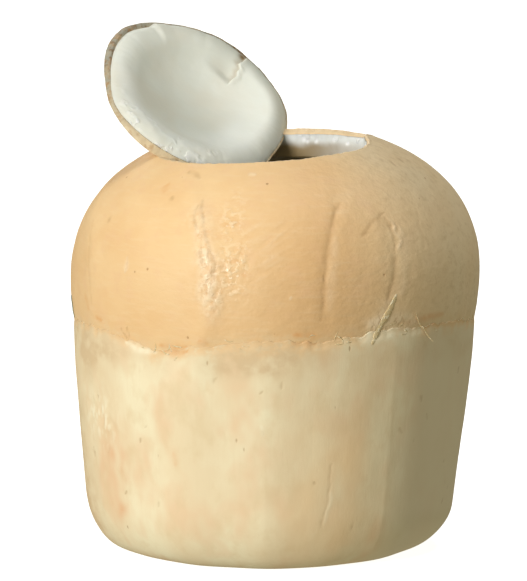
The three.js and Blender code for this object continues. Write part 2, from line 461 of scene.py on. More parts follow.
@dataclass(frozen=True)
class Nut:
    """The nut's form, shared by the shell, the husk round it and the flesh in it."""

    half_width: float = BODY_RADIUS
    widest: float = 75.0
    dome_height: float = 40.0
    dome_power: float = 2.2
    keel_depth: float = 58.0
    lean: float = 0.029
    shell_wall: float = 2.4
    pared_wall: float = 0.25  # what the cut left of it at the right of the mouth
    cut_lean: float = 3.2 * DEGREE
    flesh_outside: float = 2.7
    flesh_inside: float = 7.9
    gap: float = 0.3
    rebate: float = 0.7
    lap: float = 3.2  # how far below the lip the shell steps in
    mouth_radius: float = 30.0
    mouth_latitude: float = 59.0  # in degrees
    mouth_higher: tuple[float, float] = (5.0, 3.4)  # by how many degrees at the right and at the back
    seam_height: float = 63.0
    # Each line's lift, width, start, end, turn, bearing, and bends above and below.
    main_rib: Line = Line(0.75, 3.4, 58, 108, 81, -18, -0.034, -0.008)
    long_crease: Line = Line(-0.22, 2.0, 70, 102, 78, 13.4, 0.014, 0.006)
    bowed_crease: Line = Line(-0.16, 2.6, 72, 94, 82, 35.6, -0.004, -0.03)
    left_swelling: Line = Line(0.35, 6, 64, 100, 74, -62, -0.04, 0)
    right_back_rib: Line = Line(0.9, 3.4, 58, 106, 80, 108, 0.02, 0)
    left_back_rib: Line = Line(0.9, 3.4, 58, 106, 84, -132, -0.018, 0)

    @property
    def lines(self) -> tuple[Line, ...]:
        """All the ribs and creases."""
        return (self.main_rib, self.long_crease, self.bowed_crease, self.left_swelling,
                self.right_back_rib, self.left_back_rib)

    def point(self, latitude: Array, inset: float | Array = 0) -> tuple[Array, Array]:
        """Finds places on the nut.

        Args:
            latitude: The latitude of each place.
            inset: How far in from the outside it is.

        Returns:
            The radius and the height of each place.
        """
        on_dome = latitude > 0
        reach = np.where(on_dome, self.dome_height, self.keel_depth) - inset
        power = np.where(on_dome, 2 / self.dome_power, 1)
        rise = np.sign(latitude) * np.abs(np.sin(latitude)) ** power
        across = np.clip(np.cos(latitude), 0, 1) ** power
        return (self.half_width - inset) * across, self.widest + reach * rise

    def keel_latitude(self, height: Array) -> Array:
        """Returns the latitude of a height below the widest level."""
        return -np.arcsin(np.clip((self.widest - height) / self.keel_depth, -1, 1))

    def mouth(self, bearing: Array, ragged: float = 1) -> Array:
        """Finds the mouth's edge.

        Args:
            bearing: Each bearing.
            ragged: 1 with the edge's ragged nicks, or 0 without them.

        Returns:
            The edge's latitude at each bearing.
        """
        at_right, at_back = self.mouth_higher
        tilt = at_right * np.sin(bearing) - at_back * np.cos(bearing)
        narrower = 4.2 * near(bearing, 90, 24)
        edge = ring(self.mouth_radius, bearing)
        nicks = ragged * (0.5 * grain(edge, 2.2, seed=71) + 0.35 * grain(edge, 0.9, seed=72))
        back = 2.4 * near(bearing, 172, 30) - 4.4 * near(bearing, 114, 18)
        latitude = self.mouth_latitude + tilt + narrower + back + 0.7 * np.sin(3 * bearing + 1) + nicks
        return latitude * DEGREE

    def cut_wall(self, bearing: Array) -> Array:
        """Returns how thick the shell is at the mouth's edge: the cut pared it thin at the right."""
        return blend(self.shell_wall, self.pared_wall, near(bearing, 90, 44))

    def cut_edge(self, bearing: Array, ragged: float = 1) -> Array:
        """Returns the latitude of the shell's inner edge at the mouth: the cut leans inwards."""
        return self.mouth(bearing, ragged) + self.cut_lean * self.cut_wall(bearing) / self.shell_wall

    def seam_level(self, bearing: Array) -> Array:
        """Finds the level that the husk was cut back to, before its lip tore.

        Args:
            bearing: Each bearing.

        Returns:
            The level's height at each bearing.
        """
        high = 3.2 * near(bearing, 44, 24)
        low = 2.8 * near(bearing, -36, 12)
        return self.seam_height + high - low + 0.5 * np.sin(5 * bearing + 1)

    def seam(self, bearing: Array) -> Array:
        """Finds the husk's ragged lip.

        Args:
            bearing: Each bearing.

        Returns:
            The lip's height at each bearing.
        """
        edge = ring(SIDE_RADIUS, bearing)
        torn = 1.1 * grain(edge, 6, seed=21) + 0.9 * grain(edge, 2.2, seed=22)
        return self.seam_level(bearing) + 0.35 * np.sin(11 * bearing + 2) + torn

    def lobes(self, bearing: Array) -> Array:
        """Returns how far the body stands out of the round."""
        return 0.5 * np.cos(3 * bearing + 0.9 * np.sin(bearing))

    def relief(self, places: Places) -> Array:
        """Returns how far the ribs and creases lift the dome."""
        return sum(line.relief(places) for line in self.lines)

    def leaning(self, points: Array) -> Array:
        """Returns a body piece's points, drifted sideways with their height."""
        points[:, 0] += self.lean * points[:, 2]
        return points


NUT = Nut()


# --- finishes ------------------------------------------------------------------------------------

GRAIN_ROUGHNESS = 0.55  # how strongly each finer octave of a grain shows
SINKING_REACH = (0.0024, 0.0021, 0.0017)  # metres that red, green and blue light travel in flesh


def add(tree: bpy.types.NodeTree, kind: str, inputs: dict | None = None, **settings) -> bpy.types.Node:
    """Adds a node to a material or world.

    Args:
        tree: The node tree.
        kind: The node's type, without the leading "ShaderNode".
        inputs: A value, or another node's output, for each socket that is given.
        **settings: The node's own settings.

    Returns:
        The node.
    """
    node = tree.nodes.new("ShaderNode" + kind)
    for name, value in settings.items():
        setattr(node, name, value)
    for socket, value in (inputs or {}).items():
        if isinstance(value, bpy.types.NodeSocket):
            tree.links.new(value, node.inputs[socket])
        else:
            node.inputs[socket].default_value = value
    return node


@dataclass(frozen=True)
class Grain:
    """A pattern in a material, its lumps so many millimetres along each axis.

    It shows from `low`, where it starts, to `high`, where it is full: the noise's own values, or for
    specks the distance from their middles, in parts of the size.
    """

    size: tuple[float, float, float]
    low: float = 0.42
    high: float = 0.66
    detail: float = 2.0
    seed: float = 0.0
    slant: float = 0.0  # degrees that it leans to the right
    specks: bool = False


@dataclass(frozen=True)
class Layer:
    """One coat of a finish, laid where its grain and its mask both show, or where the one given does."""

    grain: Grain | None = None
    mask: Mask | None = None
    colour: str | None = None
    strength: float = 1.0
    roughness: float | None = None
    depth: float = 0.0  # millimetres that it stands out

    def share(self, tree: bpy.types.NodeTree, place: bpy.types.NodeSocket) -> bpy.types.NodeSocket:
        """Adds the nodes that say where the layer shows.

        Args:
            tree: The material's nodes.
            place: The place on the piece, in millimetres.

        Returns:
            How much the layer shows, from 0 to 1.
        """
        shares = []
        if self.mask:
            shares.append(add(tree, "Attribute", attribute_name=self.mask.value).outputs["Fac"])
        if self.grain:
            turned = add(tree, "Mapping", {"Vector": place, "Rotation": (0, self.grain.slant * DEGREE, 0)})
            sized = add(tree, "Mapping", {"Vector": turned.outputs[0], "Location": (self.grain.seed,) * 3,
                                          "Scale": tuple(1 / length for length in self.grain.size)})
            if self.grain.specks:
                pattern = add(tree, "TexVoronoi", {"Vector": sized.outputs[0], "Scale": 1.0})
                value = pattern.outputs["Distance"]
            else:
                pattern = add(tree, "TexNoise", {"Vector": sized.outputs[0], "Scale": 1.0,
                                                 "Detail": self.grain.detail,
                                                 "Roughness": GRAIN_ROUGHNESS})
                value = pattern.outputs[0]
            shown = add(tree, "MapRange", {"Value": value, "From Min": self.grain.low,
                                           "From Max": self.grain.high})
            shares.append(shown.outputs[0])
        if len(shares) == 1:
            return shares[0]
        return add(tree, "Math", {0: shares[0], 1: shares[1]}, operation="MULTIPLY").outputs[0]


@dataclass(frozen=True)
class Finish:
    """A material: a plain surface with layers of colour, gloss and relief over it."""

    name: str
    colour: str
    roughness: float
    specular: float
    sinking: float  # the share of light that sinks in and scatters
    layers: tuple[Layer, ...]

    def build(self) -> bpy.types.Material:
        """Lays the layers over each other, the first one lowest.

        Returns:
            The material.
        """
        material = bpy.data.materials.new(self.name)
        material.use_nodes = True
        tree = material.node_tree
        tree.nodes.clear()
        metres = add(tree, "TexCoord").outputs["Object"]
        place = add(tree, "VectorMath", {0: metres, "Scale": 1 / MM}, operation="SCALE").outputs[0]
        colour, roughness, normal = linear(self.colour), self.roughness, None
        for layer in self.layers:
            share = layer.share(tree, place)
            if layer.colour:
                faded = add(tree, "Math", {0: share, 1: layer.strength}, operation="MULTIPLY")
                mixed = add(tree, "Mix", {0: faded.outputs[0], 6: colour, 7: linear(layer.colour)},
                            data_type="RGBA")
                colour = mixed.outputs[2]
            if layer.roughness is not None:
                roughness = add(tree, "Mix", {0: share, 2: roughness, 3: layer.roughness}).outputs[0]
            if layer.depth:
                under = {} if normal is None else {"Normal": normal}
                raised = add(tree, "Bump", {"Height": share, "Distance": abs(layer.depth) * MM, **under},
                             invert=layer.depth < 0)
                normal = raised.outputs[0]
        shader = add(tree, "BsdfPrincipled", {"Base Color": colour, "Roughness": roughness,
                                              "Specular IOR Level": self.specular,
                                              "Subsurface Weight": self.sinking,
                                              "Subsurface Radius": SINKING_REACH,
                                              "Subsurface Scale": 1.0})
        if normal is not None:
            tree.links.new(normal, shader.inputs["Normal"])
        add(tree, "OutputMaterial", {"Surface": shader.outputs[0]})
        return material


@dataclass(frozen=True)
class ScrapedShell(Finish):
    """Young coconut shell, pared and scraped smooth: satin, warm tan, faintly streaked."""

    name: str = "scraped_coconut_shell"
    colour: str = "#EFCC99"
    roughness: float = 0.52
    specular: float = 0.38
    sinking: float = 0.0
    layers: tuple[Layer, ...] = (
        # It ripens from the bottom up and unevenly, so the tan deepens in patches.
        Layer(mask=Mask.DEEP, colour="#DDB07A", strength=0.9),
        Layer(Grain((15, 15, 12)), colour="#E8BE88", strength=0.5),
        Layer(Grain((6, 6, 5), 0.5, 0.72, 3, 4), colour="#E9BE93", strength=0.35),
        # Painted shade: the right and the back are greyer, with darker mottling, the tint they take in
        # shade; the cut edge is greyer too.
        Layer(mask=Mask.WEATHERED, colour="#ECD8B4", strength=0.85),
        Layer(Grain((2.4, 2.4, 2.0), 0.5, 0.75, 3, 8), Mask.WEATHERED, "#C4A679", 0.4),
        # The scraper's strokes, level and about a millimetre apart.
        Layer(Grain((7, 7, 1.1), 0.5, 0.8, 3, 9), colour="#F8E4C0", strength=0.16, depth=0.008),
        Layer(Grain((4, 4, 3.2), 0.3, 0.7, 3, 16), depth=0.09),
        Layer(Grain((2.0, 2.0, 1.5), 0.3, 0.7, 4, 6), depth=0.05, roughness=0.6),
        # Pinholes half a millimetre wide, where fibres were rooted.
        Layer(Grain((8, 8, 8), 0.055, 0.03, specks=True), colour="#A9794A", strength=0.6, depth=-0.1),
        Layer(mask=Mask.ORANGE, colour="#DE9F5E", strength=0.7),
        Layer(mask=Mask.CREASE, colour="#A67C4C", strength=0.55),
        Layer(mask=Mask.PALE, colour="#FAE6C6", strength=0.7),
        # Fine cracks in the scabs, and juice in the roughest places: glossy, and its paler specks are
        # painted glints.
        Layer(Grain((1.5, 1.5, 2.2), 0.5, 0.62, 3, 14), Mask.PALE, "#D0A678", 0.5, depth=-0.08),
        Layer(Grain((1.9, 1.9, 1.5), 0.5, 0.64, 2, 21), Mask.WET, "#E0AC70", 0.5),
        Layer(Grain((1.5, 1.5, 1.1), 0.5, 0.62, 2, 3), Mask.WET, "#FDE6C0", 0.6, 0.22, 0.1),
        # The greyer pith of the husk clings just above its lip.
        Layer(Grain((3.5, 3.5, 1.8), 0.35, 0.6, 3, 5), Mask.LIP, "#E6CBA0", 0.6, 0.7),
    )


@dataclass(frozen=True)
class CutHusk(Finish):
    """Fresh green-coconut husk, cut with a knife: matte cream pith, soft and faintly mottled."""

    name: str = "knife_cut_husk"
    colour: str = "#EDDBB6"
    roughness: float = 0.74
    specular: float = 0.3
    sinking: float = 0.0
    layers: tuple[Layer, ...] = (
        # Clouds of paler, yellower and pinker pith, one or two centimetres wide.
        Layer(Grain((13, 13, 19), 0.42, 0.66, 2, 1), colour="#F4EAC8", strength=0.8),
        Layer(Grain((10, 10, 15), 0.48, 0.7, 2, 7), colour="#EBCDA6", strength=0.8),
        Layer(Grain((5, 5, 7), 0.5, 0.72, 3, 12), colour="#E2CCA2", strength=0.5),
        # Fibres run up and down; they are half a millimetre wide, which is as fine as shows.
        Layer(Grain((0.9, 0.9, 14), 0.5, 0.78, 3, 2), colour="#DCC8A0", strength=0.12, depth=-0.01),
        Layer(Grain((2.5, 2.5, 4), 0.3, 0.7, 3, 6), depth=0.025),
        # Cut ends of fibre bundles: fine dashes up to two millimetres long.
        Layer(Grain((6.5, 6.5, 15), 0.06, 0.03, seed=3, specks=True), colour="#A88A5E", strength=0.6,
              depth=-0.08),
        Layer(mask=Mask.STAIN, colour="#E2A877", strength=0.75),
        # One side has stayed warmer; the right side is painted greyer, the tint of its shade; and the pith
        # below the lip has greyed.
        Layer(mask=Mask.BROWNED, colour="#F6D7A9", strength=0.85),
        Layer(mask=Mask.DEEP, colour="#E8DBBE", strength=0.8),
        Layer(Grain((4, 4, 3.4), 0.15, 0.54, 3, 4), Mask.WEATHERED, "#D8BE96", 0.85),
        Layer(Grain((2.2, 2.2, 1.6), 0.28, 0.5, 3, 5), Mask.LIP, "#E8C493", 0.85),
        Layer(mask=Mask.ORANGE, colour="#DE9F5E", strength=0.6),
        Layer(mask=Mask.CREASE, colour="#A58454", strength=0.6),
        Layer(mask=Mask.PALE, colour="#FBF3D6", strength=0.75),
    )


@dataclass(frozen=True)
class WetFlesh(Finish):
    """Young coconut flesh: white, soft and moist, so a little light sinks in and it has a sheen."""

    name: str = "moist_coconut_flesh"
    colour: str = "#E2E5DB"
    roughness: float = 0.48
    specular: float = 0.42
    sinking: float = 0.12
    layers: tuple[Layer, ...] = (
        Layer(Grain((14, 14, 14)), colour="#E1DECF", strength=0.6),
        Layer(Grain((5, 5, 5), 0.3, 0.7, 2, 5), depth=0.05),
        # Painted light: whiter towards the low side and on the band along the left of the rim.
        Layer(mask=Mask.PALE, colour="#F6FAF6", strength=0.9),
        # Beads of coconut water along the cut: glossy and raised, and painted white as glints.
        Layer(Grain((2.0, 2.0, 2.0), 0.48, 0.58, 1, 2), Mask.WET, "#FFFFFF", 0.8, 0.1, 0.35),
        # A brown spot, and painted shade at the foot of the tear.
        Layer(mask=Mask.BROWNED, colour="#97805A"),
    )


@dataclass(frozen=True)
class WetLining(WetFlesh):
    """The same flesh where it was just cut inside the nut: bluer white, with painted shadow further down.
    """

    name: str = "moist_coconut_lining"
    colour: str = "#E9ECE9"
    layers: tuple[Layer, ...] = (
        Layer(Grain((9, 9, 9)), colour="#DDE0D9", strength=0.6),
        Layer(Grain((4, 4, 4), 0.3, 0.7, 2, 5), depth=0.06),
        # Wet places: glossy, and painted whiter as glints.
        Layer(Grain((2.0, 2.0, 2.0), 0.5, 0.6, 1, 2), Mask.WET, "#FFFFFF", 0.6, 0.1, 0.25),
        # Painted shadow deep in the mouth, and the thin brown skin on the cut.
        Layer(mask=Mask.BROWNED, colour="#8F7440"),
        # Beads of it that have run together: glossy, and painted white as glints.
        Layer(mask=Mask.PALE, colour="#FFFFFF", roughness=0.08),
    )


@dataclass(frozen=True)
class LidShell(Finish):
    """The lid's shell layer: tan outside, its cut edge browned and fibrous."""

    name: str = "lid_cut_shell"
    colour: str = "#D2BD98"
    roughness: float = 0.55
    specular: float = 0.35
    sinking: float = 0.0
    layers: tuple[Layer, ...] = (
        Layer(Grain((3, 3, 3), 0.4, 0.62, 3), colour="#E6D3AE", strength=0.9),
        Layer(mask=Mask.BROWNED, colour="#9B998B", strength=0.95),
        # Brown spots, a millimetre or two wide.
        Layer(Grain((1.7, 1.7, 1.7), 0.52, 0.62, 3, 4), Mask.BROWNED, "#84643E", 0.8),
        Layer(Grain((2.6, 2.6, 2.6), 0.53, 0.65, 3, 9), colour="#B08550", strength=0.5),
        Layer(Grain((1.2, 1.2, 1.2), 0.3, 0.7, 3, 6), depth=0.1),
    )


@dataclass(frozen=True)
class TornFibre(Finish):
    """A torn thread of husk fibre, still moist: pale, with glossy beads along it, painted paler as glints.
    """

    name: str = "torn_husk_fibre"
    colour: str = "#DBC698"
    roughness: float = 0.5
    specular: float = 0.4
    sinking: float = 0.0
    layers: tuple[Layer, ...] = (
        Layer(Grain((3, 3, 3), 0.45, 0.65, 2, 3), colour="#D2B07C", strength=0.6),
        # Glossy raised beads, painted paler as glints.
        Layer(Grain((0.9, 0.9, 0.9), 0.52, 0.62, 2, 8), colour="#F6EACB", strength=0.85, roughness=0.3,
              depth=0.08),
    )


@dataclass(frozen=True)
class GreenSkin(Finish):
    """A flake of the young nut's outer skin that the knife missed: dark green and waxy."""

    name: str = "green_outer_skin"
    colour: str = "#5A6440"
    roughness: float = 0.45
    specular: float = 0.45
    sinking: float = 0.0
    layers: tuple[Layer, ...] = (
        Layer(Grain((1.5, 1.5, 1.5), 0.45, 0.65, 2, 3), colour="#3F4A2C", strength=0.8),
        Layer(Grain((0.8, 0.8, 0.8), 0.3, 0.7, 3, 6), depth=0.06),
    )


# --- the body ------------------------------------------------------------------------------------

CROWDING = 0.42  # how much the sides of the body's meshes crowd to the front


@dataclass
class ShellDome:
    """The nut's hard shell: the scraped dome, its cut edge, and the keel hidden in the husk."""

    sides: int = 520
    buried_rows: int = 8
    bare_rows: int = 152
    rim_rows: int = 8
    inside_rows: int = 12
    rim_crown: float = 0.3
    rib_width: float = 3.0
    rib_bottom: float = 71.0
    rib_top: float = 98.0
    # The rough band down the main rib: heights, and its bearing at each in degrees.
    rib_heights: tuple[float, ...] = (72, 80, 86, 90, 98)
    rib_bearings: tuple[float, ...] = (-17.6, -18.8, -20.4, -22, -26)
    ripest: Patch = Patch(12, 84, 18, 26)
    juicy: tuple[Patch, ...] = (Patch(-11.5, 83, 4, 7), Patch(-14, 95, 3.6, 6, 0.7))
    scraped: tuple[Patch, ...] = (Patch(-3, 91, 7, 3.5), Patch(-3, 83, 6, 3.5, 0.8))
    # Each mark's path, width, depth and darkness.
    creases: tuple[Stroke, ...] = (
        Stroke(((20.6, 99), (18.4, 97), (16.6, 93.7), (14.9, 89.8), (14, 85), (13.4, 80)), 0.8, 0.15, 0.42),
        Stroke(((13.7, 82), (13.2, 78), (13.3, 74), (12.7, 69)), 0.7, 0.11, 0.34),
        Stroke(((35.4, 96), (31.8, 94.6), (28.7, 92.7), (26, 90.6)), 0.6, 0.14, 0.5),
        Stroke(((35.6, 93.6), (36.6, 90.5), (36.6, 87)), 0.6, 0.1, 0.35),
        Stroke(((36.5, 87.4), (35.4, 84), (35.2, 80.5), (34.1, 77), (32.6, 73.4)), 0.7, 0.14, 0.45),
        Stroke(((49.7, 95.2), (48.1, 92.7), (47.8, 90), (47.1, 86)), 0.55, 0.08, 0.25),
        Stroke(((-26, 99.4), (-23.6, 96), (-21.6, 92), (-19.5, 88.3), (-17.6, 84.6)), 0.5, 0.2, 0.9),
        Stroke(((-26, 98.6), (-26.9, 95.4), (-24.6, 92.6), (-21.8, 90.4)), 0.45, 0.14, 0.65),
        Stroke(((-17.8, 85.4), (-16.4, 83.4), (-17.6, 81.4), (-16.8, 79.4)), 0.55, 0.18, 0.8),
        Stroke(((-20.4, 80), (-19.8, 77), (-21, 74.4)), 0.35, 0.1, 0.5),
        Stroke(((-16.6, 83.6), (-13.6, 82.4)), 0.4, 0.12, 0.6),
        Stroke(((-38.6, 105.8), (-35, 105.6), (-31.5, 104.5)), 0.45, 0.14, 0.5),
        Stroke(((-72, 92), (-68.4, 86), (-66.2, 80.5), (-64, 74.6), (-62.8, 69)), 0.5, 0.06, 0.25),
        Stroke(((-49.6, 65.2), (-48.6, 63.6), (-46.4, 61.2)), 0.26, 0.1, 0.9),
        Stroke(((-46.9, 65.2), (-46, 62.4)), 0.26, 0.1, 0.9),
        Stroke(((27.2, 90.9), (31.5, 93.9)), 0.5, 0.05, 0.2),
        Stroke(((35.2, 94.6), (37, 93.2), (36, 91.8), (37.8, 90.4)), 0.35, 0.16, 0.5),
        Stroke(((37.6, 93.6), (38.7, 91.9), (38, 90)), 0.35, 0.14, 0.4),
        Stroke(((58, 106.6),), 0.55, 0.15, 0.7),
        Stroke(((67.3, 107),), 0.5, 0.15, 0.7),
        Stroke(((68.1, 105),), 0.45, 0.12, 0.6),
        Stroke(((-38.8, 99.8), (-37.5, 98.6)), 0.5, 0.1, 0.5),
        Stroke(((-62.2, 92.1),), 0.7, 0.12, 1.0),
    )
    orange_marks: tuple[Stroke, ...] = (
        Stroke(((-34.5, 61.4), (-30, 60.6), (-25, 61.6)), 1.0),
        Stroke(((-21.5, 62.6), (-19, 63)), 1.2),
        Stroke(((5.1, 65.4), (11.3, 65.2)), 0.8, dark=0.8),
        Stroke(((37, 66.6), (47, 67.4), (56, 67.8)), 1.0, dark=0.9),
        Stroke(((-44.2, 102.5), (-43.5, 100.6)), 1.3, dark=0.6),
        Stroke(((-60.8, 66.5), (-58, 65.8)), 0.7, dark=0.9),
        Stroke(((-68, 72), (-65, 68)), 1.1, dark=0.4),
    )
    pale_marks: tuple[Stroke, ...] = (
        Stroke(((16.9, 91), (15.9, 85), (15.3, 79), (14.9, 72)), 1.5, -0.05, 0.3),
        Stroke(((39.4, 91.5), (39.6, 86), (38.4, 80), (37.6, 75)), 1.6, -0.05, 0.3),
        Stroke(((-9.5, 85), (-9.2, 84.4)), 0.5, -0.16, 0.9),
        Stroke(((4.1, 75.4), (4.3, 74.9)), 0.45, -0.16, 0.9),
        Stroke(((-47.4, 83.6), (-47, 80)), 0.7, -0.08, 1.0),
        Stroke(((-12.4, 105.8), (-9.4, 105.9)), 0.45, -0.1, 0.8),
        Stroke(((-21.2, 87), (-20.6, 83.6)), 1.6, -0.1, 0.6),
        Stroke(((-19, 80.6), (-18.2, 77)), 1.5, -0.12, 0.7),
        Stroke(((36.2, 94.4), (38.1, 92.7), (37, 91.1), (38.6, 89.4), (37.7, 87.4)), 0.4, -0.13, 0.45),
        Stroke(((34.4, 91), (36, 89.2)), 0.5, -0.14, 0.5),
        Stroke(((38.8, 88.6), (37.2, 86.4)), 0.5, -0.14, 0.55),
        Stroke(((27, 67.6), (34, 67.4), (44, 67)), 2.8, -0.08, 0.9),
        Stroke(((33, 73), (31.5, 70), (28.5, 64.5)), 1.7, -0.1, 0.45),
    )

    def skin(self, bearing: Array, latitude: Array) -> tuple[Array, Array]:
        """Finds the shell's outside, before its roughness.

        Args:
            bearing: The bearing of each place.
            latitude: The latitude of each place.

        Returns:
            The radius and the height of each place.
        """
        radius, height = NUT.point(latitude)
        bare = soft_step(height, NUT.seam(bearing) - NUT.lap, 1.2)
        places = Places(bearing, np.maximum(radius, 1), height)
        relief = bare * NUT.relief(places) - (1 - bare) * NUT.rebate
        shaped = smooth(height, NUT.widest - NUT.keel_depth, NUT.seam_height)
        return radius + shaped * (NUT.lobes(bearing) + relief), height

    def roughness(self, places: Places) -> Array:
        """Works out the bare dome's lumps, strokes and creases.

        Args:
            places: Where to work them out.

        Returns:
            How far the dome stands out at each place.
        """
        points = places.points
        lift = 0.16 * grain(points, 15, seed=1) + 0.07 * grain(points, 5, seed=2)
        lift += 0.014 * grain(points, (9, 9, 1.5), seed=3) + 0.02 * grain(points, 1.2, seed=5)
        rough = 0.2 + 0.3 * grain(points, (1.5, 1.5, 2), seed=4) + 0.12 * grain(points, 0.9, seed=9)
        lift += self.rib_mask(places) * rough
        lift += 0.2 * self.wet_mask(places) * grain(points, (1.3, 1.3, 1.1), seed=6)
        lift += 0.15 * self.scraped_mask(places) * self.oblique(places)
        for stroke in self.creases + self.pale_marks:
            lift -= stroke.depth * stroke.share(places)
        seam = NUT.seam(places.bearing)
        return lift * smooth(places.height, seam - 3, seam + 1)

    def surface(self, bearing: Array, latitude: Array) -> tuple[Array, Array]:
        """Finds the shell's finished outside, as the husk's lip finds it.

        Args:
            bearing: The bearing of each place.
            latitude: The latitude of each place.

        Returns:
            The radius and the height of each place.
        """
        radius, height = self.skin(bearing, latitude)
        lift = self.roughness(Places(bearing, np.maximum(radius, 1), height))
        return radius + lift * np.cos(latitude), height + lift * np.sin(latitude)

    def build(self) -> bpy.types.Object:
        """Shapes the shell from a ball: outside from the bottom up, cut edge, and inside down again.

        Returns:
            The shell, with its masks.
        """
        outside = self.buried_rows + self.bare_rows
        rim_end = outside + self.rim_rows
        last = rim_end + self.inside_rows - 1
        piece, row, bearing = ball("shell_dome", last + 1, self.sides, CROWDING)

        lip = NUT.keel_latitude(NUT.seam(bearing) - NUT.lap - 1)
        mouth = NUT.mouth(bearing)
        buried = blend(-90 * DEGREE, lip, row / (self.buried_rows - 1))
        bare = blend(lip, mouth, (row - self.buried_rows + 1) / self.bare_rows)
        latitude = np.minimum(np.where(row < self.buried_rows, buried, bare), mouth)
        radius, height = self.surface(bearing, latitude)

        inner_edge, cut_wall = NUT.cut_edge(bearing), NUT.cut_wall(bearing)
        inner_radius, inner_height = NUT.point(inner_edge, cut_wall)
        across = run(row, outside - 1, rim_end)
        crown = self.rim_crown * np.sqrt(np.clip(1 - (2 * across - 1) ** 2, 0, 1))
        on_rim = (row >= outside) & (row < rim_end)
        rim = blend(radius, inner_radius, across), blend(height, inner_height, across) + crown
        radius, height = either(on_rim, rim, (radius, height))

        down = run(row, rim_end, last)
        inset = blend(cut_wall, NUT.shell_wall, smooth(down, 0, 0.2))
        inside = NUT.point(blend(inner_edge, -90 * DEGREE, down), inset)
        radius, height = either(row >= rim_end, inside, (radius, height))
        radius = close_poles(radius, row)

        self.mark(piece, Places(bearing, np.maximum(radius, 1), height), row < outside, on_rim)
        write_points(piece, NUT.leaning(round_points(radius, bearing, height)))
        return piece

    def mark(self, piece: bpy.types.Object, places: Places, outer: Array, on_rim: Array) -> None:
        """Writes the shell's masks.

        Args:
            piece: The shell.
            places: Where its points are.
            outer: Which points are on the outside.
            on_rim: Which points are on the cut edge.
        """
        points, degrees = places.points, places.degrees
        riper = 0.22 * (1 - smooth(places.height, 60, 92)) + 0.75 * self.ripest.share(places)
        write_mask(piece, Mask.DEEP, outer * riper)
        # Painted shade tint: greyer round the right and the back, away from the key light, and on the cut
        # edge.
        shade_sides = smooth(degrees, 12, 62) + smooth(-degrees, 100, 130)
        shade_tint = outer * shade_sides * (0.9 + 0.2 * grain(points, 9, seed=12))
        write_mask(piece, Mask.WEATHERED, np.where(on_rim, 0.8, shade_tint))
        rib = self.rib_mask(places)
        write_mask(piece, Mask.WET, outer * (0.85 * rib + self.wet_mask(places)))
        pale = rib * (0.75 + 0.8 * grain(points, (1.5, 1.5, 2), seed=4))
        pale += 0.7 * self.scraped_mask(places) * self.oblique(places)
        for stroke in self.pale_marks:
            pale += stroke.dark * stroke.share(places)
        write_mask(piece, Mask.PALE, outer * pale)
        write_mask(piece, Mask.CREASE, np.where(on_rim, 0.2, outer * darkest(self.creases, places)))
        write_mask(piece, Mask.ORANGE, outer * darkest(self.orange_marks, places))
        above = places.height - NUT.seam(places.bearing)
        write_mask(piece, Mask.LIP, outer * (1 - smooth(above, 0, 3.5 + 2.5 * grain(points, 4, seed=16))))

    def rib_mask(self, places: Places) -> Array:
        """Finds the rough, pale band down the main rib.

        Args:
            places: Where to find it.

        Returns:
            1 on the band, 0 away from it.
        """
        height = places.height
        along = soft_step(height, self.rib_bottom, 5) - soft_step(height, self.rib_top, 4)
        along *= 0.5 + 0.5 * soft_step(95 - height, 4, 6)  # fainter in its upper part
        ragged = self.rib_width * (1 + 0.3 * np.sin(height / 2.1) * np.sin(height / 4.7 + 1))
        middle = np.interp(height, self.rib_heights, self.rib_bearings) * DEGREE
        return along * bell(places.bearing, middle, ragged / places.radius)

    def wet_mask(self, places: Places) -> Array:
        """Returns where juice glistens beside the rib."""
        wet = sum(patch.share(places) for patch in self.juicy)
        return np.clip(wet * (1 + 0.9 * grain(places.points, 2.5, seed=11)), 0, 1)

    def scraped_mask(self, places: Places) -> Array:
        """Returns where the scraper slipped and left slanting marks."""
        return sum(patch.share(places) for patch in self.scraped)

    def oblique(self, places: Places) -> Array:
        """Draws fine ridges that slant up to the right.

        Args:
            places: Where to draw them.

        Returns:
            Noise drawn out along the ridges, mostly from -1 to 1.
        """
        around = places.bearing * places.radius
        along = 0.83 * around + 0.55 * places.height
        across = -0.55 * around + 0.83 * places.height
        return grain(np.stack([along, across, 0 * along], 1), (7, 1.1, 1), seed=8)


